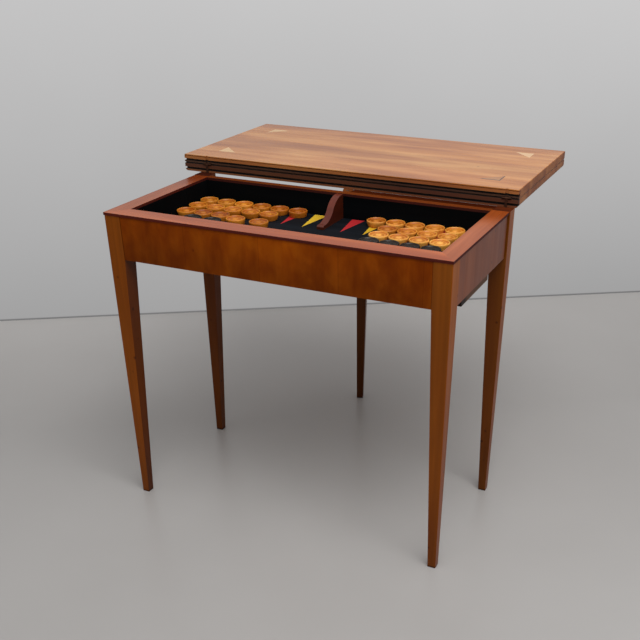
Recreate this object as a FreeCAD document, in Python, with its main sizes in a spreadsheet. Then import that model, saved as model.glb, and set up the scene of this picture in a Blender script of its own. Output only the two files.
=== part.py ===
"""Folding game table with a backgammon well, a two-leaf top and a swinging fifth leg.

Millimetres, +Z up, front of the table towards -Y. The table is drawn with the folded top
turned back over the open gate. Every size is a cell of the sheet called Sizes, and each piece
is bound to those cells.
"""
import FreeCAD, Part
import math
import os
import re
import Sketcher

doc = FreeCAD.newDocument("game_table")
sheet = doc.addObject("Spreadsheet::Sheet", "Sizes")

SIZES = [
    # Frame and rim
    ("frame_length", 831, "rim, left to right"),
    ("frame_depth", 387, "rim front edge to the back of the inner rear rail"),
    ("frame_height", 740, "floor to the top of the rim"),
    ("rim_thickness", 6, "rim strips"),
    ("rim_side", 41, "width of the side strips"),
    ("rim_overhang", 1.2, "rim past the faces of the aprons"),
    ("apron_depth", 105, "top of the rim to the bottom of the aprons"),
    ("apron_thickness", 20, "front and side aprons"),
    ("apron_setback", 0.8, "aprons behind the faces of the legs"),
    ("inner_rail", 15, "thickness of the inner rear rail"),
    ("rail_end_setback", 8, "inner rail's ends behind the rim's side edges"),
    # Legs
    ("leg_width", 41, "square head of a leg"),
    ("foot_width", 19, "square foot of a leg"),
    ("arris", 1.5, "rounding of the legs' outer front edges"),
    ("rear_leg_depth", 36, "head of a rear leg, front to back"),
    ("rear_leg_reach", 27, "back of the rear legs behind the inner rail"),
    ("rear_leg_proud", 3.2, "rear legs past the faces of the side aprons"),
    # Joinery
    ("tenon_thickness", 9, "tenons of aprons and rails"),
    ("tenon_length", 18, "tenons of aprons and rails"),
    ("tenon_shoulder", 18, "above and below each tenon"),
    ("joint_clear", 0.2, "all round a tenon or housing"),
    # Well
    ("well_depth", 58.5, "top of the rim to the cloth"),
    ("lining", 4, "boards that line the well"),
    ("tray_clear", 0.8, "well lining behind the front legs"),
    ("cloth", 1, "well cloth and the points let into it"),
    ("floor_board", 8, "well floor"),
    ("bearer_height", 12, "strips under the well floor"),
    ("bearer_width", 34, "front bearer, apron to under the floor"),
    ("rear_bearer_width", 22, "rear bearer"),
    ("block_size", 24, "glue blocks in the rear corners"),
    ("batten_width", 18, "battens under the side aprons"),
    ("batten_height", 17, "battens under the side aprons"),
    ("batten_length", 180, "battens under the side aprons"),
    ("batten_start", 43, "battens behind the front legs"),
    ("batten_inset", 5, "battens behind the apron faces"),
    # Divider of the well
    ("divider_thickness", 17, "board"),
    ("divider_length", 110, "well back to the nose"),
    ("divider_height", 57, "above the cloth at the back"),
    ("divider_head", 9, "level stretch at the back"),
    ("nose_height", 9, "above the cloth at the front"),
    ("nose_length", 9, "level stretch at the front"),
    # Backgammon points
    ("points_per_half", 6, "each side of the divider"),
    ("point_first", 50, "divider's middle to the first point"),
    ("point_end", 39.5, "last point to the side lining"),
    ("point_width", 33, "base"),
    ("point_length", 106, "base to tip"),
    ("point_margin", 2, "base from the lining"),
    # Draughtsmen
    ("man_gap", 10, "draughtsman narrower than the pitch of the points"),
    ("man_height", 14.5, "draughtsman"),
    ("man_flare", 2.5, "foot inside the rim, all round"),
    ("man_lip", 4, "width of the raised rim"),
    ("man_hollow", 2.5, "depth of the turned hollow"),
    # Rear rails and gate
    ("rail_gap", 0.8, "between the inner rail and the rails behind it"),
    ("outer_rail", 24, "thickness of the fixed rail and the fly rail"),
    ("rail_rise", 5, "bottom of these rails above the aprons"),
    ("gate_offset", 6, "gate hinge right of the frame's middle"),
    ("gate_open", 73, "degrees the gate stands open"),
    ("gate_clear", 1.2, "closed gate leg from its neighbours"),
    ("knuckles", 5, "fingers of the wooden hinge"),
    ("knuckle_clear", 0.5, "around and between the fingers"),
    ("gate_pin_radius", 4, "steel pin of the wooden hinge"),
    ("pin_clear", 0.05, "running clearance round the pins"),
    # Leaves
    ("left_overhang", 49.5, "leaves past the frame on the left"),
    ("right_overhang", 9.5, "leaves past the frame on the right"),
    ("front_overhang", 23.6, "closed leaves past the front of the frame"),
    ("leaf_thickness", 20.3, "each leaf"),
    ("rest_gap", 0.3, "leaf above rim and gate"),
    ("fold_gap", 0.3, "between the folded leaves"),
    ("edge_gap", 0.2, "hinge axis to the hinge edges"),
    ("axis_inset", 3, "hinge axis in front of the backs of the rear legs"),
    ("outer_round", 7.5, "rounded edge of the outer leaf's outer face"),
    ("inner_round", 2.5, "rounded edge of the inner leaf's outer face"),
    ("fold_round", 2.5, "rounded edges of both inner faces"),
    ("groove", 5, "height of the grooves along the hinge edges"),
    ("groove_depth", 8, "grooves along the hinge edges"),
    ("groove_set", 10.4, "grooves below the upper face of each folded leaf"),
    ("quirk", 2, "height of the small groove under the inner leaf's outer face"),
    ("quirk_depth", 1.5, "this small groove"),
    ("quirk_set", 2, "this small groove below the face"),
    ("rebate_height", 1.8, "rebates beside the fold"),
    ("rebate_depth", 3, "rebates beside the fold"),
    ("overcut", 5, "cutters past the edges that they cut"),
    # Chessboard and corner inlays
    ("square", 46, "chessboard squares"),
    ("inlay", 1.2, "thickness of squares, stringing and corners"),
    ("stringing", 4, "line round the chessboard"),
    ("corner_size", 48, "short sides of the corner inlays"),
    ("corner_inset", 65, "corner inlays from the leaf's edges"),
    # Top hinges
    ("barrel_radius", 2.5, "hinge knuckles"),
    ("hinge_pin_radius", 1.2, "hinge pins"),
    ("post_knuckle", 6, "knuckle on the post"),
    ("leaf_knuckle", 4, "each knuckle on a leaf"),
    ("hinge_play", 0.3, "between knuckles"),
    ("notch_height", 3, "cut-outs for the knuckles in the hinge edges"),
    ("notch_play", 0.7, "cut-outs past knuckles and posts"),
    ("plate_thickness", 1.6, "hinge plates"),
    ("plate_depth", 30, "hinge plates past the rebate"),
    ("post_thickness", 1.6, "hinge posts"),
    ("post_offset", 2.5, "front of a post to the hinge axis"),
    ("post_tang", 45, "post let into the leg"),
]
for row, (alias, number, note) in enumerate(SIZES, start=1):
    sheet.set(f"A{row}", alias)
    sheet.set(f"B{row}", str(number))
    sheet.setAlias(f"B{row}", alias)
    sheet.set(f"C{row}", note)
doc.recompute()
ALIASES = [alias for alias, number, note in SIZES]
ALIAS_WORD = re.compile(r"\b(" + "|".join(ALIASES) + r")\b")

# Places worked out from the sheet, as expressions
FRAME_MIDDLE = "((left_overhang - right_overhang) / 2)"
FRAME_LEFT = f"({FRAME_MIDDLE} - frame_length / 2)"
FRAME_RIGHT = f"({FRAME_MIDDLE} + frame_length / 2)"
LEAF_LENGTH = "(frame_length + left_overhang + right_overhang)"
FRAME_TO_AXIS = "(frame_depth + rear_leg_reach - axis_inset)"
LEAF_DEPTH = f"({FRAME_TO_AXIS} + front_overhang - edge_gap)"
TOTAL_DEPTH = f"({FRAME_TO_AXIS} + edge_gap + {LEAF_DEPTH})"
FRAME_FRONT = f"(-{TOTAL_DEPTH} / 2)"
FRAME_BACK = f"({FRAME_FRONT} + frame_depth)"
RIM_BOTTOM = "(frame_height - rim_thickness)"
APRON_BOTTOM = "(frame_height - apron_depth)"
RIM_FRONT = "(rim_overhang + leg_width + tray_clear + lining)"
WELL_LEFT = f"({FRAME_LEFT} + rim_side)"
WELL_RIGHT = f"({FRAME_RIGHT} - rim_side)"
WELL_FRONT = f"({FRAME_FRONT} + {RIM_FRONT})"
WELL_BACK = f"({FRAME_BACK} - inner_rail - lining)"
WELL_FLOOR = "(frame_height - well_depth)"
BOARD_TOP = f"({WELL_FLOOR} - cloth)"
BOARD_BOTTOM = f"({BOARD_TOP} - floor_board)"
INNER_RAIL_FRONT = f"({FRAME_BACK} - inner_rail)"
LEG_FACE_LEFT = f"({FRAME_LEFT} + rim_overhang)"
LEG_FACE_RIGHT = f"({FRAME_RIGHT} - rim_overhang)"
LEG_FACE_FRONT = f"({FRAME_FRONT} + rim_overhang)"
REAR_FACE_LEFT = f"({LEG_FACE_LEFT} - rear_leg_proud)"
REAR_FACE_RIGHT = f"({LEG_FACE_RIGHT} + rear_leg_proud)"
REAR_LEG_BACK = f"({FRAME_BACK} + rear_leg_reach)"
REAR_LEG_FRONT = f"({REAR_LEG_BACK} - rear_leg_depth)"
RAIL_BOTTOM = f"({APRON_BOTTOM} + rail_rise)"
RAIL_HEIGHT = f"(frame_height - {RAIL_BOTTOM})"
GATE_X = f"({FRAME_MIDDLE} + gate_offset)"
GATE_Y = f"({FRAME_BACK} + rail_gap + outer_rail / 2)"
AXIS_Y = f"({REAR_LEG_BACK} - axis_inset)"
OUTER_LEAF_BOTTOM = "(frame_height + rest_gap)"
AXIS_Z = f"({OUTER_LEAF_BOTTOM} + leaf_thickness + fold_gap / 2)"
LEAF_EDGE = f"({AXIS_Y} + edge_gap)"
HINGE_X_LEFT = f"({REAR_FACE_LEFT} + leg_width / 2)"
HINGE_X_RIGHT = f"({REAR_FACE_RIGHT} - leg_width / 2)"
HINGE_WIDTH = "(post_knuckle + 4 * leaf_knuckle)"


def value(expression):
    """Number that an expression of the sheet's names gives."""
    return float(sheet.evalExpression(expression))


def bind(item, prop, expression):
    """Tie a property of a document object to the sheet."""
    item.setExpression(prop, ALIAS_WORD.sub(r"Sizes.\1", expression))


def place(item, x, y, z):
    """Tie an object's position to the sheet."""
    for axis, expression in zip("xyz", (x, y, z)):
        bind(item, f"Placement.Base.{axis}", expression)


def board(name, x, y, z):
    """Rectangular piece: each direction is a pair of start and length."""
    item = doc.addObject("Part::Box", name)
    bind(item, "Length", x[1])
    bind(item, "Width", y[1])
    bind(item, "Height", z[1])
    place(item, x[0], y[0], z[0])
    return item


def rod(name, radius, length, x, y, z, along="z"):
    """Round piece with one end at the given place, along Z or along X."""
    item = doc.addObject("Part::Cylinder", name)
    bind(item, "Radius", radius)
    bind(item, "Height", length)
    if along == "x":
        item.Placement.Rotation = FreeCAD.Rotation(FreeCAD.Vector(0, 1, 0), 90)
    place(item, x, y, z)
    return item


def fuse(name, *pieces):
    """One solid from several overlapping or touching ones."""
    item = doc.addObject("Part::MultiFuse", name)
    item.Shapes = list(pieces)
    item.Refine = True
    return item


def cut(name, base, *tools):
    """Base with every tool taken away."""
    item = doc.addObject("Part::Cut", name)
    item.Base = base
    item.Tool = tools[0] if len(tools) == 1 else fuse(f"{name}_tools", *tools)
    item.Refine = True
    return item


def group(name, solids):
    """Separate equal solids that share one node."""
    item = doc.addObject("Part::Feature", name)
    item.Shape = Part.makeCompound(solids)
    return item


def outline(body, name, plane, offset, corners, arcs=None):
    """Closed sketch whose corners are bound to the sheet; arcs gives radii by side number.

    A positive radius bends the side to the left of its direction of travel, a negative one to
    the right.
    """
    arcs = arcs or {}
    sketch = body.newObject("Sketcher::SketchObject", name)
    support = [item for item in body.Origin.OriginFeatures if item.Role == plane][0]
    sketch.AttachmentSupport = (support, "")
    sketch.MapMode = "FlatFace"
    bind(sketch, "AttachmentOffset.Base.z", offset)
    points = [FreeCAD.Vector(value(u), value(v), 0) for u, v in corners]
    sides = len(points)
    for number in range(sides):
        start = points[number]
        end = points[(number + 1) % sides]
        if number in arcs:
            radius = value(arcs[number])
            chord = end - start
            half = chord.Length / 2
            normal = FreeCAD.Vector(chord.y, -chord.x, 0).normalize()
            rise = abs(radius) - math.sqrt(radius ** 2 - half ** 2)
            middle = (start + end) / 2 + normal * math.copysign(rise, radius)
            sketch.addGeometry(Part.Arc(start, middle, end))
        else:
            sketch.addGeometry(Part.LineSegment(start, end))

    def ends(number):
        """Sketcher's point numbers of a side's start and end."""
        reversed_arc = number in arcs and value(arcs[number]) < 0
        return (2, 1) if reversed_arc else (1, 2)

    for number in range(sides):
        follower = (number + 1) % sides
        join = Sketcher.Constraint("Coincident", number, ends(number)[1], follower, ends(follower)[0])
        sketch.addConstraint(join)
    for number, (u, v) in enumerate(corners):
        for kind, expression in (("DistanceX", u), ("DistanceY", v)):
            rule = Sketcher.Constraint(kind, -1, 1, number, ends(number)[0], value(expression))
            label = f"{kind}{number}"
            sketch.renameConstraint(sketch.addConstraint(rule), label)
            bind(sketch, f"Constraints.{label}", expression)
    for number, radius in arcs.items():
        rule = Sketcher.Constraint("Radius", number, abs(value(radius)))
        label = f"Radius{number}"
        sketch.renameConstraint(sketch.addConstraint(rule), label)
        bind(sketch, f"Constraints.{label}", f"abs({radius})")
    return sketch


def prism(name, plane, offset, corners, length, arcs=None):
    """Body padded from an outline."""
    body = doc.addObject("PartDesign::Body", name)
    sketch = outline(body, f"{name}_outline", plane, offset, corners, arcs)
    pad = body.newObject("PartDesign::Pad", f"{name}_pad")
    pad.Profile = sketch
    bind(pad, "Length", length)
    doc.recompute()
    return body


pieces = {}


def piece(name, item):
    """Name a finished piece, which names its file too."""
    item.Label = name
    pieces[name] = item
    return item


# Legs: square head, then a taper to a small foot. The outer side faces stay upright, and so do
# the front faces.
def leg_blank(name, face, side, front, depth, knee, head):
    """Leg with its upright edge rounded; side is 1 for a left leg and -1 for a right one.

    Head is the pair of front and depth of the part above the knee, and the leg's top.
    """
    taper = doc.addObject("Part::Wedge", f"{name}_taper")
    inner = ("Xmax", "X2max") if side > 0 else ("Xmin", "X2min")
    for prop in ("Xmin", "Xmax", "X2min", "X2max", "Ymin", "Zmax", "Z2max"):
        setattr(taper, prop, 0)
    bind(taper, inner[0], f"{side} * foot_width")
    bind(taper, inner[1], f"{side} * leg_width")
    bind(taper, "Ymax", knee)
    bind(taper, "Zmin", "-foot_width")
    bind(taper, "Z2min", f"-{depth}")
    taper.Placement.Rotation = FreeCAD.Rotation(FreeCAD.Vector(1, 0, 0), 90)
    place(taper, face, front, "0")
    head_front, head_depth, head_top = head
    head_left = face if side > 0 else f"{face} - leg_width"
    block = board(
        f"{name}_head",
        (head_left, "leg_width"),
        (head_front, head_depth),
        (knee, f"{head_top} - {knee}"),
    )
    whole = fuse(f"{name}_whole", taper, block)
    doc.recompute()
    rounded = doc.addObject("Part::Fillet", f"{name}_rounded")
    rounded.Base = whole
    radius = value("arris")
    upright_edges = []
    for number, edge in enumerate(whole.Shape.Edges, start=1):
        rise = abs(edge.Vertexes[0].Point.z - edge.Vertexes[-1].Point.z)
        if rise > value(knee) / 2 and edge.Length - rise < 0.01:
            upright_edges.append((number, radius, radius))
    rounded.Edges = upright_edges
    return rounded


def tenon_box(name, x, y, z_start, z_length, grow):
    """Tenon with as much again inside its board, or the mortise when grow is the clearance."""
    shoulder = f"(tenon_shoulder - {grow})"
    height = (f"{z_start} + {shoulder}", f"{z_length} - 2 * {shoulder}")
    return board(name, x, y, height)


APRON_SPAN = (APRON_BOTTOM, f"{RIM_BOTTOM} - {APRON_BOTTOM}")
TENON_SET = "((apron_thickness - tenon_thickness) / 2)"
FRONT_HEAD = (LEG_FACE_FRONT, "leg_width", RIM_BOTTOM)
REAR_HEAD = (REAR_LEG_FRONT, "rear_leg_depth", "frame_height")


def front_tenon(name, side, grow):
    """Tenon of the front apron; side is 1 at the left leg and -1 at the right one."""
    if side > 0:
        start = f"{LEG_FACE_LEFT} + leg_width - tenon_length - {grow}"
    else:
        start = f"{LEG_FACE_RIGHT} - leg_width - tenon_length"
    along = (start, f"2 * tenon_length + {grow}")
    across = (f"{LEG_FACE_FRONT} + {TENON_SET} - {grow}", f"tenon_thickness + 2 * {grow}")
    return tenon_box(name, along, across, *APRON_SPAN, grow)


def side_tenon(name, side, grow):
    """Tenon of a side apron in its front leg."""
    start = f"{LEG_FACE_FRONT} + leg_width - tenon_length - {grow}"
    along = (start, f"2 * tenon_length + {grow}")
    width = f"tenon_thickness + 2 * {grow}"
    if side > 0:
        across = (f"{LEG_FACE_LEFT} + {TENON_SET} - {grow}", width)
    else:
        across = (f"{LEG_FACE_RIGHT} - {TENON_SET} - tenon_thickness - {grow}", width)
    return tenon_box(name, across, along, *APRON_SPAN, grow)


def rail_tenon(name, grow):
    """Tenon of the fixed rear rail in the rear right leg."""
    along = (f"{REAR_FACE_RIGHT} - leg_width - tenon_length", f"2 * tenon_length + {grow}")
    across = (f"{GATE_Y} - tenon_thickness / 2 - {grow}", f"tenon_thickness + 2 * {grow}")
    return tenon_box(name, along, across, RAIL_BOTTOM, RAIL_HEIGHT, grow)


def post_slot(name, centre):
    """Slot for the tang of a hinge post, open at the top of its leg."""
    return board(
        name,
        (f"{centre} - post_knuckle / 2", "post_knuckle"),
        (f"{AXIS_Y} - post_offset - joint_clear", "post_thickness + 2 * joint_clear"),
        ("frame_height - post_tang - joint_clear", "2 * post_tang"),
    )


def rail_housing(name, side):
    """Housing in a rear leg for the end of the inner rear rail, open to the front and inside."""
    if side > 0:
        start = f"{FRAME_LEFT} + rail_end_setback - joint_clear"
    else:
        start = f"{FRAME_RIGHT} - rail_end_setback + joint_clear - leg_width"
    return board(
        name,
        (start, "leg_width"),
        (INNER_RAIL_FRONT, "inner_rail + joint_clear"),
        (f"{APRON_BOTTOM} - joint_clear", f"{RIM_BOTTOM} - {APRON_BOTTOM} + 2 * joint_clear"),
    )


for word, side, face in (("left", 1, LEG_FACE_LEFT), ("right", -1, LEG_FACE_RIGHT)):
    name = f"front_{word}_leg"
    blank = leg_blank(name, face, side, LEG_FACE_FRONT, "leg_width", APRON_BOTTOM, FRONT_HEAD)
    mortises = (
        front_tenon(f"{name}_front_mortise", side, "joint_clear"),
        side_tenon(f"{name}_side_mortise", side, "joint_clear"),
    )
    piece(name, cut(name, blank, *mortises))

for word, side, face, centre in (
    ("left", 1, REAR_FACE_LEFT, HINGE_X_LEFT),
    ("right", -1, REAR_FACE_RIGHT, HINGE_X_RIGHT),
):
    name = f"rear_{word}_leg"
    blank = leg_blank(name, face, side, REAR_LEG_FRONT, "rear_leg_depth", APRON_BOTTOM, REAR_HEAD)
    tools = [rail_housing(f"{name}_housing", side), post_slot(f"{name}_post_slot", centre)]
    if side < 0:
        tools.append(rail_tenon(f"{name}_mortise", "joint_clear"))
    piece(name, cut(name, blank, *tools))

# Aprons: boards between the legs, tenoned into the front legs
apron_length = f"{LEG_FACE_RIGHT} - {LEG_FACE_LEFT} - 2 * leg_width"
piece(
    "front_apron",
    fuse(
        "front_apron",
        board(
            "front_apron_board",
            (f"{LEG_FACE_LEFT} + leg_width", apron_length),
            (f"{LEG_FACE_FRONT} + apron_setback", "apron_thickness"),
            APRON_SPAN,
        ),
        front_tenon("front_apron_left_tenon", 1, "0"),
        front_tenon("front_apron_right_tenon", -1, "0"),
    ),
)
for word, side in (("left", 1), ("right", -1)):
    name = f"{word}_apron"
    if side > 0:
        start = f"{LEG_FACE_LEFT} + apron_setback"
    else:
        start = f"{LEG_FACE_RIGHT} - apron_setback - apron_thickness"
    length = f"{INNER_RAIL_FRONT} - {LEG_FACE_FRONT} - leg_width"
    plank = board(
        f"{name}_board",
        (start, "apron_thickness"),
        (f"{LEG_FACE_FRONT} + leg_width", length),
        APRON_SPAN,
    )
    piece(name, fuse(name, plank, side_tenon(f"{name}_tenon", side, "0")))

# Inner rear rail: closes the back of the well, its ends housed in the rear legs
piece(
    "inner_rear_rail",
    board(
        "inner_rear_rail",
        (f"{FRAME_LEFT} + rail_end_setback", "frame_length - 2 * rail_end_setback"),
        (INNER_RAIL_FRONT, "inner_rail"),
        APRON_SPAN,
    ),
)

# Rim: thin strips round the well, mitred at the front corners
piece(
    "front_rim",
    prism(
        "front_rim",
        "XY_Plane",
        RIM_BOTTOM,
        [
            (FRAME_LEFT, FRAME_FRONT),
            (FRAME_RIGHT, FRAME_FRONT),
            (WELL_RIGHT, WELL_FRONT),
            (WELL_LEFT, WELL_FRONT),
        ],
        "rim_thickness",
    ),
)
for word, outside, inside in (("left", FRAME_LEFT, WELL_LEFT), ("right", FRAME_RIGHT, WELL_RIGHT)):
    name = f"{word}_rim"
    corners = [
        (outside, FRAME_FRONT),
        (inside, WELL_FRONT),
        (inside, REAR_LEG_FRONT),
        (outside, REAR_LEG_FRONT),
    ]
    piece(name, prism(name, "XY_Plane", RIM_BOTTOM, corners, "rim_thickness"))
piece(
    "rear_rim",
    board(
        "rear_rim",
        (WELL_LEFT, f"{WELL_RIGHT} - {WELL_LEFT}"),
        (WELL_BACK, f"{FRAME_BACK} - {WELL_BACK}"),
        (RIM_BOTTOM, "rim_thickness"),
    ),
)

# Well: floor board on bearers, thin lining boards and a cloth with the points let into it
WELL_LENGTH = f"({WELL_RIGHT} - {WELL_LEFT})"
WELL_WIDTH = f"({WELL_BACK} - {WELL_FRONT})"
LINING_SPAN = (BOARD_TOP, f"{RIM_BOTTOM} - {BOARD_TOP}")
piece(
    "well_floor",
    board(
        "well_floor",
        (f"{WELL_LEFT} - lining", f"{WELL_LENGTH} + 2 * lining"),
        (f"{WELL_FRONT} - lining", f"{WELL_WIDTH} + 2 * lining"),
        (BOARD_BOTTOM, "floor_board"),
    ),
)
long_lining = (f"{WELL_LEFT} - lining", f"{WELL_LENGTH} + 2 * lining")
front_lining_y = (f"{WELL_FRONT} - lining", "lining")
piece("front_lining", board("front_lining", long_lining, front_lining_y, LINING_SPAN))
piece("back_lining", board("back_lining", long_lining, (WELL_BACK, "lining"), LINING_SPAN))
short_lining = (WELL_FRONT, WELL_WIDTH)
left_lining_x = (f"{WELL_LEFT} - lining", "lining")
piece("left_lining", board("left_lining", left_lining_x, short_lining, LINING_SPAN))
piece("right_lining", board("right_lining", (WELL_RIGHT, "lining"), short_lining, LINING_SPAN))
piece(
    "front_floor_bearer",
    board(
        "front_floor_bearer",
        (f"{LEG_FACE_LEFT} + leg_width", apron_length),
        (f"{LEG_FACE_FRONT} + apron_setback + apron_thickness", "bearer_width"),
        (f"{BOARD_BOTTOM} - bearer_height", "bearer_height"),
    ),
)
SIDE_INNER_LEFT = f"({LEG_FACE_LEFT} + apron_setback + apron_thickness)"
SIDE_INNER_RIGHT = f"({LEG_FACE_RIGHT} - apron_setback - apron_thickness)"
piece(
    "rear_floor_bearer",
    board(
        "rear_floor_bearer",
        (SIDE_INNER_LEFT, f"{SIDE_INNER_RIGHT} - {SIDE_INNER_LEFT}"),
        (f"{INNER_RAIL_FRONT} - rear_bearer_width", "rear_bearer_width"),
        (f"{BOARD_BOTTOM} - bearer_height", "bearer_height"),
    ),
)
block = value("block_size")
block_back = value(f"{INNER_RAIL_FRONT} - block_size")
block_top = value(f"{BOARD_BOTTOM} - bearer_height")
blocks = [
    Part.makeBox(block, block, block, FreeCAD.Vector(start, block_back, block_top - block))
    for start in (value(SIDE_INNER_LEFT), value(f"{SIDE_INNER_RIGHT} - block_size"))
]
piece("glue_blocks", group("glue_blocks", blocks))
for word, start in (
    ("left", f"{LEG_FACE_LEFT} + batten_inset"),
    ("right", f"{LEG_FACE_RIGHT} - batten_inset - batten_width"),
):
    name = f"{word}_batten"
    strip = board(
        name,
        (start, "batten_width"),
        (f"{LEG_FACE_FRONT} + leg_width + batten_start", "batten_length"),
        (f"{APRON_BOTTOM} - batten_height", "batten_height"),
    )
    piece(name, strip)

# Points: long triangles in two colours, based on the back and the front of the well
POINT_SPAN = f"({WELL_LENGTH} / 2 - point_first - point_end)"
POINT_PITCH = f"({POINT_SPAN} / (points_per_half - 1))"


def point_solid(centre, base, direction):
    """One point with its base at y = base and its tip towards direction."""
    half = value("point_width") / 2
    floor = value(BOARD_TOP)
    tip = base + direction * value("point_length")
    corners = [(centre - half, base), (centre + half, base), (centre, tip), (centre - half, base)]
    wire = Part.makePolygon([FreeCAD.Vector(x, y, floor) for x, y in corners])
    return Part.Face(wire).extrude(FreeCAD.Vector(0, 0, value("cloth")))


points = {"red": [], "yellow": []}
for half in (-1, 1):
    for number in range(int(value("points_per_half"))):
        centre = value(f"{FRAME_MIDDLE} + {half} * (point_first + {number} * {POINT_PITCH})")
        back_colour = "red" if (number + (half < 0)) % 2 == 0 else "yellow"
        front_colour = "yellow" if back_colour == "red" else "red"
        back_base = value(f"{WELL_BACK} - point_margin")
        front_base = value(f"{WELL_FRONT} + point_margin")
        points[back_colour].append(point_solid(centre, back_base, -1))
        points[front_colour].append(point_solid(centre, front_base, 1))
red_points = piece("red_points", group("red_points", points["red"]))
yellow_points = piece("yellow_points", group("yellow_points", points["yellow"]))
cloth_sheet = board(
    "cloth_sheet",
    (WELL_LEFT, WELL_LENGTH),
    (WELL_FRONT, WELL_WIDTH),
    (BOARD_TOP, "cloth"),
)
piece("well_cloth", cut("well_cloth", cloth_sheet, red_points, yellow_points))

# Divider: board with an ogee edge, high at the back of the well and low at the nose
DIVIDER_TOP = f"({WELL_FLOOR} + divider_height)"
NOSE_TOP = f"({WELL_FLOOR} + nose_height)"
NOSE_FRONT = f"({WELL_BACK} - divider_length)"
OGEE_BACK = f"({WELL_BACK} - divider_head)"
OGEE_FRONT = f"({NOSE_FRONT} + nose_length)"
OGEE_RUN = f"({OGEE_BACK} - {OGEE_FRONT})"
OGEE_RISE = "(divider_height - nose_height)"
OGEE_RADIUS = f"(({OGEE_RUN} ^ 2 + {OGEE_RISE} ^ 2) / (4 * {OGEE_RISE}))"
piece(
    "divider",
    prism(
        "divider",
        "YZ_Plane",
        f"{FRAME_MIDDLE} - divider_thickness / 2",
        [
            (NOSE_FRONT, WELL_FLOOR),
            (WELL_BACK, WELL_FLOOR),
            (WELL_BACK, DIVIDER_TOP),
            (OGEE_BACK, DIVIDER_TOP),
            (f"({OGEE_BACK} + {OGEE_FRONT}) / 2", f"({DIVIDER_TOP} + {NOSE_TOP}) / 2"),
            (OGEE_FRONT, NOSE_TOP),
            (f"{NOSE_FRONT} + nose_height / 2", NOSE_TOP),
            (NOSE_FRONT, f"{WELL_FLOOR} + nose_height / 2"),
        ],
        "divider_thickness",
        arcs={3: OGEE_RADIUS, 4: f"-{OGEE_RADIUS}", 6: "nose_height / 2"},
    ),
)

# Draughtsmen: turned discs with a small foot, a raised rim and a dished middle
MAN_DIAMETER = f"({POINT_PITCH} - man_gap)"
man = doc.addObject("PartDesign::Body", "draughtsman")
man_profile = outline(
    man,
    "draughtsman_profile",
    "XZ_Plane",
    "0",
    [
        ("0", "0"),
        (f"{MAN_DIAMETER} / 2 - man_flare", "0"),
        (f"{MAN_DIAMETER} / 2", "man_height"),
        (f"{MAN_DIAMETER} / 2 - man_lip", "man_height"),
        ("0", "man_height - man_hollow"),
    ],
)
man_turned = man.newObject("PartDesign::Revolution", "draughtsman_turned")
man_turned.Profile = man_profile
man_turned.ReferenceAxis = (man_profile, ["V_Axis"])
man_turned.Angle = 360
doc.recompute()

# Rows of men, in diameters of a man: the lining that they are counted from, the first man from
# it, the row from the back lining, the step and the count
LIGHT_ROWS = [
    ("left", 0.511, 0.66, 1.072, 6),
    ("left", 0.521, 1.787, 1.062, 5),
    ("left", 0.511, 2.915, 1.032, 3),
    ("left", 3.628, 3.19, 1.343, 2),
    ("right", 1.528, 0.574, 1.038, 5),
    ("right", 1.523, 1.66, 1.038, 4),
    ("right", 1.545, 2.702, 1.038, 4),
]
DARK_ROWS = [
    ("left", 1.511, 3.93, 1.17, 2),
    ("right", 1.6, 3.787, 1.034, 4),
]


def men(name, rows):
    """Draughtsmen of one colour standing in the well."""
    solids = []
    diameter = value(MAN_DIAMETER)
    for side, first, from_back, step, count in rows:
        y = value(WELL_BACK) - from_back * diameter
        for number in range(count):
            along = (first + number * step) * diameter
            x = value(WELL_LEFT) + along if side == "left" else value(WELL_RIGHT) - along
            solid = man.Shape.copy()
            solid.translate(FreeCAD.Vector(x, y, value(WELL_FLOOR)))
            solids.append(solid)
    return piece(name, group(name, solids))


men("light_draughtsmen", LIGHT_ROWS)
men("dark_draughtsmen", DARK_ROWS)

# Wooden hinge: fingers of the fixed rear rail and of the fly rail on one steel pin
SHOULDER = "(outer_rail / 2 + knuckle_clear)"
FINGER = f"({RAIL_HEIGHT} / knuckles)"


def fingers(name, side, x, y, first):
    """Every other finger of the hinge; side is 1 for the fixed rail and -1 for the fly rail."""
    found = []
    for number in range(first, int(value("knuckles")), 2):
        foot = f"{RAIL_BOTTOM} + {number} * {FINGER} + knuckle_clear / 2"
        height = f"{FINGER} - knuckle_clear"
        neck_start = x if side > 0 else f"{x} - {SHOULDER}"
        neck = board(
            f"{name}_neck{number}",
            (neck_start, SHOULDER),
            (f"{y} - outer_rail / 2", "outer_rail"),
            (foot, height),
        )
        found.append(neck)
        found.append(rod(f"{name}_round{number}", "outer_rail / 2", height, x, y, foot))
    return found


BORE = "gate_pin_radius + pin_clear"
fixed_start = f"{GATE_X} + {SHOULDER}"
fixed_board = board(
    "outer_rail_board",
    (fixed_start, f"{REAR_FACE_RIGHT} - leg_width - ({fixed_start})"),
    (f"{GATE_Y} - outer_rail / 2", "outer_rail"),
    (RAIL_BOTTOM, RAIL_HEIGHT),
)
fixed_rail = fuse(
    "outer_rail_solid",
    fixed_board,
    rail_tenon("outer_rail_tenon", "0"),
    *fingers("outer_rail", 1, GATE_X, GATE_Y, 1),
)
fixed_bore = rod("outer_rail_bore", BORE, RAIL_HEIGHT, GATE_X, GATE_Y, RAIL_BOTTOM)
piece("outer_rear_rail", cut("outer_rear_rail", fixed_rail, fixed_bore))
gate_pin = rod("gate_pin", "gate_pin_radius", RAIL_HEIGHT, GATE_X, GATE_Y, RAIL_BOTTOM)
piece("gate_pin", gate_pin)

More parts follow.
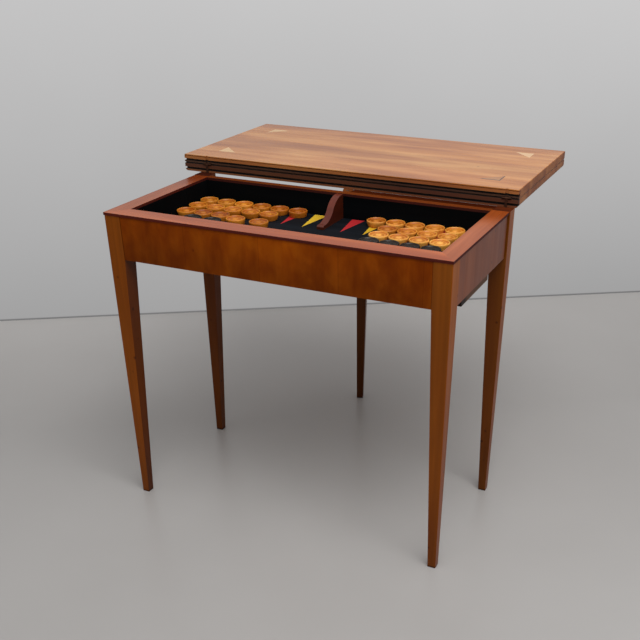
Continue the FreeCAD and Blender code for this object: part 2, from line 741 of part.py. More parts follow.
# Gate: drawn closed, along -X from the hinge pin at the origin, then swung open
GATE_LEG_LEFT = f"({REAR_FACE_LEFT} + leg_width + gate_clear - {GATE_X})"
GATE_LEG_RIGHT = f"({GATE_LEG_LEFT} + leg_width)"
GATE_LEG_FRONT = f"({REAR_LEG_FRONT} - {GATE_Y})"
GATE_HEAD_FRONT = "(-outer_rail / 2)"
GATE_HEAD_DEPTH = f"({REAR_LEG_BACK} - {GATE_Y} + outer_rail / 2)"
GATE_KNEE = f"({APRON_BOTTOM} - gate_clear)"


def swing(item):
    """Hang a gate piece on the hinge pin and turn it open."""
    item.Placement.Rotation = FreeCAD.Rotation(FreeCAD.Vector(0, 0, -1), value("gate_open"))
    bind(item, "Placement.Rotation.Angle", "gate_open * 1 deg")
    place(item, GATE_X, GATE_Y, "0")
    return item


def fly_tenon(name, grow):
    """Tenon of the fly rail in the gate leg."""
    along = (f"{GATE_LEG_RIGHT} - tenon_length - {grow}", f"2 * tenon_length + {grow}")
    across = (f"-tenon_thickness / 2 - {grow}", f"tenon_thickness + 2 * {grow}")
    return tenon_box(name, along, across, RAIL_BOTTOM, RAIL_HEIGHT, grow)


fly_board = board(
    "fly_rail_board",
    (GATE_LEG_RIGHT, f"-{SHOULDER} - {GATE_LEG_RIGHT}"),
    ("-outer_rail / 2", "outer_rail"),
    (RAIL_BOTTOM, RAIL_HEIGHT),
)
fly_solid = fuse(
    "fly_rail_solid",
    fly_board,
    fly_tenon("fly_rail_tenon", "0"),
    *fingers("fly_rail", -1, "0", "0", 0),
)
fly_bore = rod("fly_rail_bore", BORE, RAIL_HEIGHT, "0", "0", RAIL_BOTTOM)
piece("fly_rail", swing(cut("fly_rail", fly_solid, fly_bore)))
gate_head = (GATE_HEAD_FRONT, GATE_HEAD_DEPTH, "frame_height")
gate_blank = leg_blank(
    "gate_leg", GATE_LEG_LEFT, 1, GATE_LEG_FRONT, "rear_leg_depth", GATE_KNEE, gate_head
)
piece("gate_leg", swing(cut("gate_leg", gate_blank, fly_tenon("gate_leg_mortise", "joint_clear"))))

# Leaves: boards rounded on three sides, grooved along the hinge edge and let in for the hinges,
# with half of a chessboard inlaid beside the fold on each inner face
LEAF_LEFT = f"(-{LEAF_LENGTH} / 2)"
BOARD_HALF = "(4 * square)"
CHESS_EDGE = f"({LEAF_EDGE} + rebate_depth)"
INNER_LEAF_BOTTOM = f"({AXIS_Z} + fold_gap / 2)"
INNER_LEAF_TOP = f"({INNER_LEAF_BOTTOM} + leaf_thickness)"
OUTER_LEAF_TOP = f"({OUTER_LEAF_BOTTOM} + leaf_thickness)"


def level_edges(shape, level):
    """Names of a leaf's edges at one level, without the hinge edge."""
    names = []
    for number, edge in enumerate(shape.Edges, start=1):
        on_level = all(abs(end.Point.z - level) < 0.01 for end in edge.Vertexes)
        at_hinge = all(abs(end.Point.y - value(LEAF_EDGE)) < 0.01 for end in edge.Vertexes)
        if on_level and not at_hinge:
            names.append(f"Edge{number}")
    return names


def leaf_blank(name, bottom, roundings):
    """Leaf with three edges of each face rounded; roundings gives the radius for each level."""
    far = f"{LEAF_EDGE} + {LEAF_DEPTH}"
    corners = [
        (LEAF_LEFT, LEAF_EDGE),
        (f"-{LEAF_LEFT}", LEAF_EDGE),
        (f"-{LEAF_LEFT}", far),
        (LEAF_LEFT, far),
    ]
    body = prism(name, "XY_Plane", bottom, corners, "leaf_thickness")
    for level, radius in roundings.items():
        edges = level_edges(body.Shape, value(level))
        before = body.Tip
        eased = body.newObject("PartDesign::Fillet", f"{name}_{radius}")
        eased.Base = (before, edges)
        bind(eased, "Radius", radius)
        doc.recompute()
    return body


def edge_cutter(name, depth, low, height):
    """Cutter for a groove or rebate along a whole hinge edge."""
    return board(
        name,
        (f"{LEAF_LEFT} - overcut", f"{LEAF_LENGTH} + 2 * overcut"),
        (f"{LEAF_EDGE} - overcut", f"{depth} + overcut"),
        (low, height),
    )


def leaf_tools(name, grooves, lows):
    """Cutters for the grooves, the chessboard, the knuckles and the hinge plates of a leaf.

    Each groove is its depth, lower side and height; lows has the lower sides of the others.
    """
    tools = [edge_cutter(f"{name}_groove{number}", *rule) for number, rule in enumerate(grooves)]
    tools.append(
        board(
            f"{name}_board_recess",
            (f"-{BOARD_HALF} - stringing", f"2 * ({BOARD_HALF} + stringing)"),
            (CHESS_EDGE, f"{BOARD_HALF} + stringing"),
            (lows["inlay"], "inlay"),
        )
    )
    for word, centre in (("left", HINGE_X_LEFT), ("right", HINGE_X_RIGHT)):
        notch = board(
            f"{name}_{word}_notch",
            (f"{centre} - {HINGE_WIDTH} / 2 - notch_play", f"{HINGE_WIDTH} + 2 * notch_play"),
            (f"{LEAF_EDGE} - overcut", "rebate_depth + overcut"),
            (lows["notch"], "notch_height"),
        )
        recess = board(
            f"{name}_{word}_recess",
            (f"{centre} - {HINGE_WIDTH} / 2", HINGE_WIDTH),
            (CHESS_EDGE, "plate_depth"),
            (lows["plate"], "plate_thickness"),
        )
        tools += [notch, recess]
    return tools


def chess_squares(name, low, row_of):
    """Light and dark squares of half a board beside the fold; row_of numbers the whole board."""
    side = value("square")
    found = {"light": [], "dark": []}
    for column in range(8):
        for step in range(4):
            x = value(f"-{BOARD_HALF}") + column * side
            y = value(CHESS_EDGE) + step * side
            tile = Part.makeBox(side, side, value("inlay"), FreeCAD.Vector(x, y, value(low)))
            found["dark" if (column + row_of(step)) % 2 == 0 else "light"].append(tile)
    for shade, tiles in found.items():
        piece(f"{name}_{shade}_squares", group(f"{name}_{shade}_squares", tiles))


def stringing(name, low):
    """Light line on the three free sides of a half board."""
    wide = f"2 * ({BOARD_HALF} + stringing)"
    far = board(
        f"{name}_far_line",
        (f"-{BOARD_HALF} - stringing", wide),
        (f"{CHESS_EDGE} + {BOARD_HALF}", "stringing"),
        (low, "inlay"),
    )
    sides = [
        board(f"{name}_{word}_line", (start, "stringing"), (CHESS_EDGE, BOARD_HALF), (low, "inlay"))
        for word, start in (("left", f"-{BOARD_HALF} - stringing"), ("right", BOARD_HALF))
    ]
    piece(f"{name}_stringing", fuse(f"{name}_stringing", far, *sides))


outer_lows = {
    "inlay": f"{OUTER_LEAF_TOP} - inlay",
    "plate": f"{OUTER_LEAF_TOP} - plate_thickness",
    "notch": f"{OUTER_LEAF_TOP} - notch_height",
}
outer_blank = leaf_blank(
    "outer_leaf_blank",
    OUTER_LEAF_BOTTOM,
    {OUTER_LEAF_BOTTOM: "outer_round", OUTER_LEAF_TOP: "fold_round"},
)
outer_grooves = [
    ("rebate_depth", f"{OUTER_LEAF_TOP} - rebate_height", "rebate_height"),
    ("groove_depth", f"{OUTER_LEAF_TOP} - groove_set - groove", "groove"),
]
outer_tools = leaf_tools("outer_leaf", outer_grooves, outer_lows)
piece("outer_leaf_board", cut("outer_leaf_board", outer_blank, *outer_tools))
chess_squares("outer_leaf", outer_lows["inlay"], lambda step: 4 + step)
stringing("outer_leaf", outer_lows["inlay"])

inner_lows = {"inlay": INNER_LEAF_BOTTOM, "plate": INNER_LEAF_BOTTOM, "notch": INNER_LEAF_BOTTOM}
inner_blank = leaf_blank(
    "inner_leaf_blank",
    INNER_LEAF_BOTTOM,
    {INNER_LEAF_TOP: "inner_round", INNER_LEAF_BOTTOM: "fold_round"},
)
inner_grooves = [
    ("rebate_depth", INNER_LEAF_BOTTOM, "rebate_height"),
    ("groove_depth", f"{INNER_LEAF_TOP} - groove_set - groove", "groove"),
    ("quirk_depth", f"{INNER_LEAF_TOP} - quirk_set - quirk", "quirk"),
]
inner_tools = leaf_tools("inner_leaf", inner_grooves, inner_lows)
for word, centre in (("left", HINGE_X_LEFT), ("right", HINGE_X_RIGHT)):
    post_gap = board(
        f"inner_leaf_{word}_post_gap",
        (f"{centre} - post_knuckle / 2 - notch_play", "post_knuckle + 2 * notch_play"),
        (f"{LEAF_EDGE} - overcut", "post_offset + notch_play + overcut"),
        (f"{INNER_LEAF_BOTTOM} - overcut", "leaf_thickness + 2 * overcut"),
    )
    inner_tools.append(post_gap)


def corner_solid(x_side, y_side):
    """Right-angled corner inlay on the inner leaf's outer face, square corner outwards."""
    size = value("corner_size")
    low = value(f"{INNER_LEAF_TOP} - inlay")
    x = x_side * value(f"{LEAF_LENGTH} / 2 - corner_inset")
    middle = value(f"{LEAF_EDGE} + {LEAF_DEPTH} / 2")
    y = middle + y_side * value(f"{LEAF_DEPTH} / 2 - corner_inset")
    corners = [(x, y), (x - x_side * size, y), (x, y - y_side * size), (x, y)]
    wire = Part.makePolygon([FreeCAD.Vector(u, v, low) for u, v in corners])
    return Part.Face(wire).extrude(FreeCAD.Vector(0, 0, value("inlay")))


corner_solids = [corner_solid(x_side, y_side) for x_side in (-1, 1) for y_side in (-1, 1)]
corner_inlays = piece("corner_inlays", group("corner_inlays", corner_solids))
piece("inner_leaf_board", cut("inner_leaf_board", inner_blank, corner_inlays, *inner_tools))
chess_squares("inner_leaf", inner_lows["inlay"], lambda step: 3 - step)
stringing("inner_leaf", inner_lows["inlay"])

# Top hinges: a post let into each rear leg, and a plate on each leaf, all on one pin
def knuckle(centre, offset, length, y, z):
    """Bored knuckle on the hinge axis, from offset along the hinge."""
    at = FreeCAD.Vector(centre + offset, y, z)
    along = FreeCAD.Vector(1, 0, 0)
    round_part = Part.makeCylinder(value("barrel_radius"), length, at, along)
    bore = Part.makeCylinder(value("hinge_pin_radius + pin_clear"), length, at, along)
    return round_part, bore


def hinge_post(centre):
    """Post with its tang and its knuckle."""
    y = value(AXIS_Y)
    z = value(AXIS_Z)
    width = value("post_knuckle - hinge_play")
    foot = value("frame_height - post_tang")
    corner = FreeCAD.Vector(centre - width / 2, y - value("post_offset"), foot)
    strap = Part.makeBox(width, value("post_thickness"), z - foot, corner)
    round_part, bore = knuckle(centre, -width / 2, width, y, z)
    return strap.fuse(round_part).cut(bore).removeSplitter()


def hinge_plate(centre, knuckle_starts, low):
    """Plate in a leaf's inner face with its two knuckles."""
    y = value(AXIS_Y)
    z = value(AXIS_Z)
    width = value(HINGE_WIDTH)
    reach = value("post_offset + hinge_play")
    depth = value("edge_gap + rebate_depth + plate_depth") - reach
    thickness = value("plate_thickness")
    plate = Part.makeBox(width, depth, thickness, FreeCAD.Vector(centre - width / 2, y + reach, low))
    length = value("leaf_knuckle - hinge_play")
    for start in knuckle_starts:
        offset = start + value("hinge_play") / 2 - width / 2
        round_part, bore = knuckle(centre, offset, length, y, z)
        arm = Part.makeBox(length, reach, thickness, FreeCAD.Vector(centre + offset, y, low))
        plate = plate.fuse([round_part, arm]).cut(bore)
    return plate.removeSplitter()


hinge_centres = [value(HINGE_X_LEFT), value(HINGE_X_RIGHT)]
leaf_knuckle = value("leaf_knuckle")
hinge_width = value(HINGE_WIDTH)
outer_starts = (0, hinge_width - leaf_knuckle)
inner_starts = (leaf_knuckle, hinge_width - 2 * leaf_knuckle)
piece("hinge_posts", group("hinge_posts", [hinge_post(centre) for centre in hinge_centres]))
hinge_pins = [
    Part.makeCylinder(
        value("hinge_pin_radius"),
        hinge_width,
        FreeCAD.Vector(centre - hinge_width / 2, value(AXIS_Y), value(AXIS_Z)),
        FreeCAD.Vector(1, 0, 0),
    )
    for centre in hinge_centres
]
piece("hinge_pins", group("hinge_pins", hinge_pins))
outer_plate_low = value(outer_lows["plate"])
outer_plates = [hinge_plate(centre, outer_starts, outer_plate_low) for centre in hinge_centres]
piece("outer_leaf_hinge_plates", group("outer_leaf_hinge_plates", outer_plates))
inner_plate_low = value(inner_lows["plate"])
inner_plates = [hinge_plate(centre, inner_starts, inner_plate_low) for centre in hinge_centres]
piece("inner_leaf_hinge_plates", group("inner_leaf_hinge_plates", inner_plates))

doc.recompute()
failed = [item.Label for item in doc.Objects if "Invalid" in item.State or "Error" in item.State]
if failed:
    raise RuntimeError("not sound: " + ", ".join(failed))
for name, item in pieces.items():
    if item.Shape.isNull() or not item.Shape.isValid():
        raise RuntimeError(f"{name} has no sound shape")

os.makedirs("parts", exist_ok=True)
for name, item in pieces.items():
    item.Shape.exportStep(f"parts/{name}.step")
    print(name, len(item.Shape.Solids), round(item.Shape.Volume / 1000, 2))
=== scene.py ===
"""Folding game table with its doubled top turned back over the open gate leg.

Metres, +Z up, front of the table towards -Y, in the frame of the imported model.
"""
import math

import bmesh
import bpy
from mathutils import Euler, Matrix, Vector


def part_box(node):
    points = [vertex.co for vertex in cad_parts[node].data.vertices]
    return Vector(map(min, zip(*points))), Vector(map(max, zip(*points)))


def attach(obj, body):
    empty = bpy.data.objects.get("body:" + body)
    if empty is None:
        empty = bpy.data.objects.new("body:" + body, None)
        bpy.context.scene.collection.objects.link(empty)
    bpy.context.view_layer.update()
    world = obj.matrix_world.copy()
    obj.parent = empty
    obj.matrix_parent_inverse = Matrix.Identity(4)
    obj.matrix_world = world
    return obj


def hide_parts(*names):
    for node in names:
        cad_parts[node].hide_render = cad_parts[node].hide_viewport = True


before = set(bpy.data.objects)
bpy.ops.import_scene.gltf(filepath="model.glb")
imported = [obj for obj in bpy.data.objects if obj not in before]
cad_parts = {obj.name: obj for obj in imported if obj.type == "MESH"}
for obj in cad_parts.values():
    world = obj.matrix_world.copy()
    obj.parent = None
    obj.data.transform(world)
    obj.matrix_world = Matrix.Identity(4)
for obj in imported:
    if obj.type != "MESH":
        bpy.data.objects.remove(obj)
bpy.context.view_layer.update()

# Camera
# It stands to the front right, well above the table. The picture is a crop of a wider one, so the
# lens is shifted as much as that crop needs.
VIEW_PLACE = (0.9722, -2.0720, 1.3120)
VIEW_YAW = math.radians(24.83)
VIEW_PITCH = math.radians(32.06)
VIEW_ROLL = math.radians(-0.14)
camera_data = bpy.data.cameras.new("view")
camera_data.lens = 51.535
camera_data.sensor_width = 36.0
camera_data.shift_x = -0.0434
camera_data.shift_y = 0.2579
camera = bpy.data.objects.new("view", camera_data)
bpy.context.collection.objects.link(camera)
camera.location = VIEW_PLACE
level_view = Euler((math.pi / 2 - VIEW_PITCH, 0, VIEW_YAW)).to_matrix()
camera.rotation_euler = (level_view @ Matrix.Rotation(VIEW_ROLL, 3, "Z")).to_euler()
bpy.context.scene.camera = camera

# Legs
# Four fixed legs and the gate leg: solid cherry, square at the head and tapered to a small foot
# on two faces, tenoned to the aprons, sanded and polished. The grain runs up the leg.
def new_group(name, inputs, outputs):
    """Empty shader node group; returns it with its entry and exit nodes."""
    group = bpy.data.node_groups.new(name, "ShaderNodeTree")
    for label, kind, default in inputs:
        socket = group.interface.new_socket(label, in_out="INPUT", socket_type=kind)
        socket.default_value = default
    for label in outputs:
        group.interface.new_socket(label, in_out="OUTPUT", socket_type="NodeSocketFloat")
    return group, group.nodes.new("NodeGroupInput"), group.nodes.new("NodeGroupOutput")


def wood_figure_group():
    """Figure of polished wood, with its fibres along the X of the vector that it is given."""
    inputs = [
        ("Vector", "NodeSocketVector", (0, 0, 0)),
        ("Fibre Scale", "NodeSocketFloat", 90.0),
        ("Band Scale", "NodeSocketFloat", 9.0),
        ("Cloud Scale", "NodeSocketFloat", 3.0),
        ("Band Draw", "NodeSocketVector", (0.1, 1, 1)),
        ("Knot Scale", "NodeSocketFloat", 30.0),
        ("Knot Bar", "NodeSocketFloat", 1.0),
    ]
    outputs = ("Band", "Fibre", "Cloud", "Pore", "Knot")
    group, entry, leave = new_group("wood_figure", inputs, outputs)

    def noise(stretch, scale_from, detail, roughness):
        """Noise drawn out along the fibres."""
        drawn = group.nodes.new("ShaderNodeMapping")
        if isinstance(stretch, str):
            group.links.new(entry.outputs[stretch], drawn.inputs["Scale"])
        else:
            drawn.inputs["Scale"].default_value = stretch
        group.links.new(entry.outputs["Vector"], drawn.inputs["Vector"])
        made = group.nodes.new("ShaderNodeTexNoise")
        made.inputs["Detail"].default_value = detail
        made.inputs["Roughness"].default_value = roughness
        made.inputs["Distortion"].default_value = 0.3
        group.links.new(drawn.outputs["Vector"], made.inputs["Vector"])
        group.links.new(entry.outputs[scale_from], made.inputs["Scale"])
        return made.outputs["Fac"]

    fibre = noise((0.035, 1, 1), "Fibre Scale", 4.0, 0.6)
    pore = group.nodes.new("ShaderNodeMapRange")
    pore.inputs["From Min"].default_value = 0.32
    pore.inputs["From Max"].default_value = 0.42
    group.links.new(fibre, pore.inputs["Value"])
    group.links.new(noise("Band Draw", "Band Scale", 3.0, 0.55), leave.inputs["Band"])
    group.links.new(fibre, leave.inputs["Fibre"])
    group.links.new(noise((0.5, 1, 1), "Cloud Scale", 2.0, 0.5), leave.inputs["Cloud"])
    group.links.new(pore.outputs["Result"], leave.inputs["Pore"])
    cells = group.nodes.new("ShaderNodeTexVoronoi")
    group.links.new(entry.outputs["Vector"], cells.inputs["Vector"])
    group.links.new(entry.outputs["Knot Scale"], cells.inputs["Scale"])
    pin = group.nodes.new("ShaderNodeMapRange")
    pin.inputs["From Min"].default_value = 0.15
    pin.inputs["From Max"].default_value = 0.06
    group.links.new(cells.outputs["Distance"], pin.inputs["Value"])
    chosen = group.nodes.new("ShaderNodeMath")
    chosen.operation = "GREATER_THAN"
    group.links.new(cells.outputs["Color"], chosen.inputs[0])
    group.links.new(entry.outputs["Knot Bar"], chosen.inputs[1])
    knot = group.nodes.new("ShaderNodeMath")
    knot.operation = "MULTIPLY"
    group.links.new(pin.outputs["Result"], knot.inputs[0])
    group.links.new(chosen.outputs[0], knot.inputs[1])
    group.links.new(knot.outputs[0], leave.inputs["Knot"])
    return group


wood_figure = wood_figure_group()


def mix(material, blend, factor, below, above):
    """Mix node that lays one colour over another; each source is a value or a socket."""
    node = material.node_tree.nodes.new("ShaderNodeMix")
    node.data_type = "RGBA"
    node.blend_type = blend
    for socket, source in zip((node.inputs[0], node.inputs[6], node.inputs[7]), (factor, below, above)):
        if isinstance(source, bpy.types.NodeSocket):
            material.node_tree.links.new(source, socket)
        else:
            socket.default_value = source
    return node.outputs[2]


def wood(
    name, shades, turn=(0, 0, 0), gloss=0.26, specular=0.5,
    scales=(90, 9, 3), fibre=0.35, draw=0.1, knots=1.0,
):
    """Polished wood in three shades; turn brings the grain from X to the piece's own direction.

    The scales are those of the fibres, the bands and the clouds. A smaller draw makes longer bands,
    and the nearer knots is to 1, the fewer pin knots show.
    """
    made = bpy.data.materials.new(name)
    made.use_nodes = True
    nodes = made.node_tree.nodes
    links = made.node_tree.links
    shader = nodes["Principled BSDF"]
    shader.inputs["Specular IOR Level"].default_value = specular
    place = nodes.new("ShaderNodeTexCoord")
    mapping = nodes.new("ShaderNodeMapping")
    mapping.inputs["Rotation"].default_value = [math.radians(angle) for angle in turn]
    figure = nodes.new("ShaderNodeGroup")
    figure.node_tree = wood_figure
    for socket, number in zip(("Fibre Scale", "Band Scale", "Cloud Scale"), scales):
        figure.inputs[socket].default_value = number
    figure.inputs["Band Draw"].default_value = (draw, 1, 1)
    figure.inputs["Knot Bar"].default_value = knots
    links.new(place.outputs["Object"], mapping.inputs["Vector"])
    links.new(mapping.outputs["Vector"], figure.inputs["Vector"])

    bands = nodes.new("ShaderNodeValToRGB")
    bands.color_ramp.elements[0].position = 0.34
    bands.color_ramp.elements[1].position = 0.66
    bands.color_ramp.elements.new(0.5)
    for element, shade in zip(bands.color_ramp.elements, shades):
        element.color = (*shade, 1)
    links.new(figure.outputs["Band"], bands.inputs["Fac"])
    fibres = mix(made, "OVERLAY", fibre, bands.outputs["Color"], figure.outputs["Fibre"])
    clouds = mix(made, "SOFT_LIGHT", 0.55, fibres, figure.outputs["Cloud"])
    spotted = mix(made, "MULTIPLY", figure.outputs["Knot"], clouds, (0.42, 0.34, 0.3, 1))
    links.new(spotted, shader.inputs["Base Color"])

    sheen = nodes.new("ShaderNodeMapRange")
    sheen.inputs["To Min"].default_value = gloss + 0.12
    sheen.inputs["To Max"].default_value = gloss - 0.06
    links.new(figure.outputs["Fibre"], sheen.inputs["Value"])
    links.new(sheen.outputs["Result"], shader.inputs["Roughness"])
    bump = nodes.new("ShaderNodeBump")
    bump.inputs["Strength"].default_value = 0.25
    bump.inputs["Distance"].default_value = 0.0001
    links.new(figure.outputs["Pore"], bump.inputs["Height"])
    links.new(bump.outputs["Normal"], shader.inputs["Normal"])
    return made


def band_mask_group():
    """Mask that is 1 between two levels along an axis."""
    inputs = [
        ("Vector", "NodeSocketVector", (0, 0, 0)),
        ("Axis", "NodeSocketVector", (0, 0, 1)),
        ("Low", "NodeSocketFloat", 0.0),
        ("High", "NodeSocketFloat", 1.0),
        ("Soft", "NodeSocketFloat", 0.001),
    ]
    group, entry, leave = new_group("band_mask", inputs, ("Mask",))
    level = group.nodes.new("ShaderNodeVectorMath")
    level.operation = "DOT_PRODUCT"
    group.links.new(entry.outputs["Vector"], level.inputs[0])
    group.links.new(entry.outputs["Axis"], level.inputs[1])

    def step(edge, order):
        """Soft step at one of the levels; order is -1 to fall instead of rise."""
        past = group.nodes.new("ShaderNodeMath")
        past.operation = "SUBTRACT"
        group.links.new(level.outputs["Value"], past.inputs[0])
        group.links.new(entry.outputs[edge], past.inputs[1])
        share = group.nodes.new("ShaderNodeMath")
        share.operation = "DIVIDE"
        group.links.new(past.outputs[0], share.inputs[0])
        group.links.new(entry.outputs["Soft"], share.inputs[1])
        ramp = group.nodes.new("ShaderNodeMapRange")
        ramp.inputs["From Min"].default_value = -order
        ramp.inputs["From Max"].default_value = order
        group.links.new(share.outputs[0], ramp.inputs["Value"])
        return ramp.outputs["Result"]

    both = group.nodes.new("ShaderNodeMath")
    both.operation = "MULTIPLY"
    group.links.new(step("Low", 1), both.inputs[0])
    group.links.new(step("High", -1), both.inputs[1])
    group.links.new(both.outputs[0], leave.inputs["Mask"])
    return group


band_mask_tree = band_mask_group()
X_AXIS = (1, 0, 0)
Y_AXIS = (0, 1, 0)
Z_AXIS = (0, 0, 1)
# Levels past every piece, for a mask that is open at one end.
BELOW = -10
BEYOND = 10


def band_mask(material, axis, low, high, soft, of="Object"):
    """Mask between two levels of a material's own coordinates or normals."""
    nodes = material.node_tree.nodes
    place = nodes.new("ShaderNodeTexCoord")
    node = nodes.new("ShaderNodeGroup")
    node.node_tree = band_mask_tree
    node.inputs["Axis"].default_value = axis
    node.inputs["Low"].default_value = low
    node.inputs["High"].default_value = high
    node.inputs["Soft"].default_value = soft
    material.node_tree.links.new(place.outputs[of], node.inputs["Vector"])
    return node.outputs["Mask"]


def facing(material, direction, least=0.6):
    """Mask of the faces that look along a direction."""
    return band_mask(material, direction, least, BEYOND, 0.2, of="Normal")


def overlap(material, first, second):
    """Mask that is 1 where two masks are."""
    both = material.node_tree.nodes.new("ShaderNodeMath")
    both.operation = "MULTIPLY"
    material.node_tree.links.new(first, both.inputs[0])
    material.node_tree.links.new(second, both.inputs[1])
    return both.outputs[0]


def stain(material, mask, colour):
    """Darken or warm a finish where a mask is 1, with its figure still showing."""
    tint = material.node_tree.nodes["Principled BSDF"].inputs["Base Color"]
    below = tint.links[0].from_socket
    material.node_tree.links.new(mix(material, "MULTIPLY", mask, below, (*colour, 1)), tint)


def dull(material, mask, roughness):
    """Take the polish off a finish where a mask is 1."""
    gloss = material.node_tree.nodes["Principled BSDF"].inputs["Roughness"]
    node = material.node_tree.nodes.new("ShaderNodeMix")
    material.node_tree.links.new(mask, node.inputs[0])
    material.node_tree.links.new(gloss.links[0].from_socket, node.inputs[2])
    node.inputs[3].default_value = roughness
    material.node_tree.links.new(node.outputs[0], gloss)


def dress(material, *names):
    """Give CAD pieces their finish."""
    for name in names:
        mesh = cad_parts[name].data
        mesh.materials.clear()
        mesh.materials.append(material)


UPRIGHT = (0, 90, 0)
MANY_KNOTS = 0.45
LEG_SHADES = [(0.17, 0.038, 0.002), (0.235, 0.062, 0.004), (0.30, 0.088, 0.007)]
leg_cherry = wood("leg_cherry", LEG_SHADES, UPRIGHT, gloss=0.3, specular=0.12, knots=MANY_KNOTS)
# Painted shade: the lower legs, the left legs and most of all the rear left leg are darkened where the
# table's shade falls.
REAR_LEFT = (-0.7, 0.7, 0)
painted_shade_zones = (
    (Z_AXIS, BELOW, 0.10, 0.10, (0.80, 0.80, 0.85)),
    (X_AXIS, BELOW, -0.2, 0.1, (0.79, 0.64, 0.30)),
    (REAR_LEFT, 0.1, BEYOND, 0.05, (0.60, 0.58, 0.55)),
)
for axis, low, high, soft, colour in painted_shade_zones:
    stain(leg_cherry, band_mask(leg_cherry, axis, low, high, soft), colour)
# Painted shade on the inner face of the front left leg and the front faces of the rear right legs, and
# painted light on the right faces of the right legs.
FRONT_LEFT = (-0.7, -0.7, 0)
REAR_RIGHT = (0.7, 0.7, 0)
lit_and_shaded_faces = (
    (FRONT_LEFT, 0.43, X_AXIS, (0.46, 0.40, 0.30)),
    (REAR_RIGHT, 0.13, (0, -1, 0), (0.76, 0.82, 1.0)),
    (X_AXIS, 0.30, X_AXIS, (1.32, 1.2, 1.0)),
)
for corner, start, outward, colour in lit_and_shaded_faces:
    which = band_mask(leg_cherry, corner, start, BEYOND, 0.02)
    stain(leg_cherry, overlap(leg_cherry, which, facing(leg_cherry, outward)), colour)
# Painted contact shadow along the very foot of each leg, where it meets the floor.
LEG_FOOT_SHADOW_HEIGHT = 0.004
stain(leg_cherry, band_mask(leg_cherry, Z_AXIS, BELOW, LEG_FOOT_SHADOW_HEIGHT, 0.002), (0.3, 0.28, 0.28))
head = facing(leg_cherry, Z_AXIS)
stain(leg_cherry, head, (0.42, 0.26, 0.25))
dull(leg_cherry, head, 0.8)
dress(leg_cherry, "front_left_leg", "front_right_leg", "rear_left_leg", "rear_right_leg", "gate_leg")

# Aprons
# Boards veneered with cherry whose figure stands upright, laid in leaves side by side, tenoned
# into the front legs and polished with them.
def veneer_leaves_group():
    """Tone of each veneer leaf and the fine line where two leaves meet."""
    inputs = [
        ("Vector", "NodeSocketVector", (0, 0, 0)),
        ("Axis", "NodeSocketVector", (1, 0, 0)),
        ("Width", "NodeSocketFloat", 0.2),
        ("Seam", "NodeSocketFloat", 0.0006),
    ]
    group, entry, leave = new_group("veneer_leaves", inputs, ("Tone", "Seam"))
    nodes = group.nodes
    links = group.links

    def maths(operation, first, second=None):
        """One step of arithmetic on sockets."""
        node = nodes.new("ShaderNodeMath")
        node.operation = operation
        links.new(first, node.inputs[0])
        if second is not None:
            links.new(second, node.inputs[1])
        return node.outputs[0]

    along = nodes.new("ShaderNodeVectorMath")
    along.operation = "DOT_PRODUCT"
    links.new(entry.outputs["Vector"], along.inputs[0])
    links.new(entry.outputs["Axis"], along.inputs[1])
    count = maths("DIVIDE", along.outputs["Value"], entry.outputs["Width"])
    chance = nodes.new("ShaderNodeTexWhiteNoise")
    chance.noise_dimensions = "1D"
    links.new(maths("FLOOR", count), chance.inputs["W"])
    links.new(chance.outputs["Value"], leave.inputs["Tone"])
    share = maths("FRACT", count)
    to_edge = maths("MULTIPLY", share, entry.outputs["Width"])
    links.new(maths("LESS_THAN", to_edge, entry.outputs["Seam"]), leave.inputs["Seam"])
    return group


veneer_leaves = veneer_leaves_group()


def tone(material, level, dark, light):
    """Multiply a finish by a tone that runs from dark to light as a level runs from 0 to 1."""
    tones = material.node_tree.nodes.new("ShaderNodeValToRGB")
    tones.color_ramp.elements[0].color = (*dark, 1)
    tones.color_ramp.elements[1].color = (*light, 1)
    material.node_tree.links.new(level, tones.inputs["Fac"])
    tint = material.node_tree.nodes["Principled BSDF"].inputs["Base Color"]
    toned = mix(material, "MULTIPLY", 1.0, tint.links[0].from_socket, tones.outputs["Color"])
    material.node_tree.links.new(toned, tint)


def lay_leaves(material, axis, width, light, dark):
    """Divide a finish into veneer leaves of slightly different tone, with fine joints."""
    place = material.node_tree.nodes.new("ShaderNodeTexCoord")
    node = material.node_tree.nodes.new("ShaderNodeGroup")
    node.node_tree = veneer_leaves
    node.inputs["Axis"].default_value = axis
    node.inputs["Width"].default_value = width
    material.node_tree.links.new(place.outputs["Object"], node.inputs["Vector"])
    tone(material, node.outputs["Tone"], (dark, dark, dark), (light, light, light))
    stain(material, node.outputs["Seam"], (0.45, 0.4, 0.4))


APRON_SHADES = [(0.165, 0.027, 0.0004), (0.205, 0.038, 0.0007), (0.25, 0.052, 0.0015)]
FRONT_LEAF = 0.187
front_veneer = wood(
    "front_veneer", APRON_SHADES, UPRIGHT,
    gloss=0.34, specular=0.06, scales=(70, 24, 6), fibre=0.2, draw=0.55, knots=MANY_KNOTS,
)
lay_leaves(front_veneer, X_AXIS, FRONT_LEAF, light=1.05, dark=0.96)
apron_low, apron_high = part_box("front_apron")
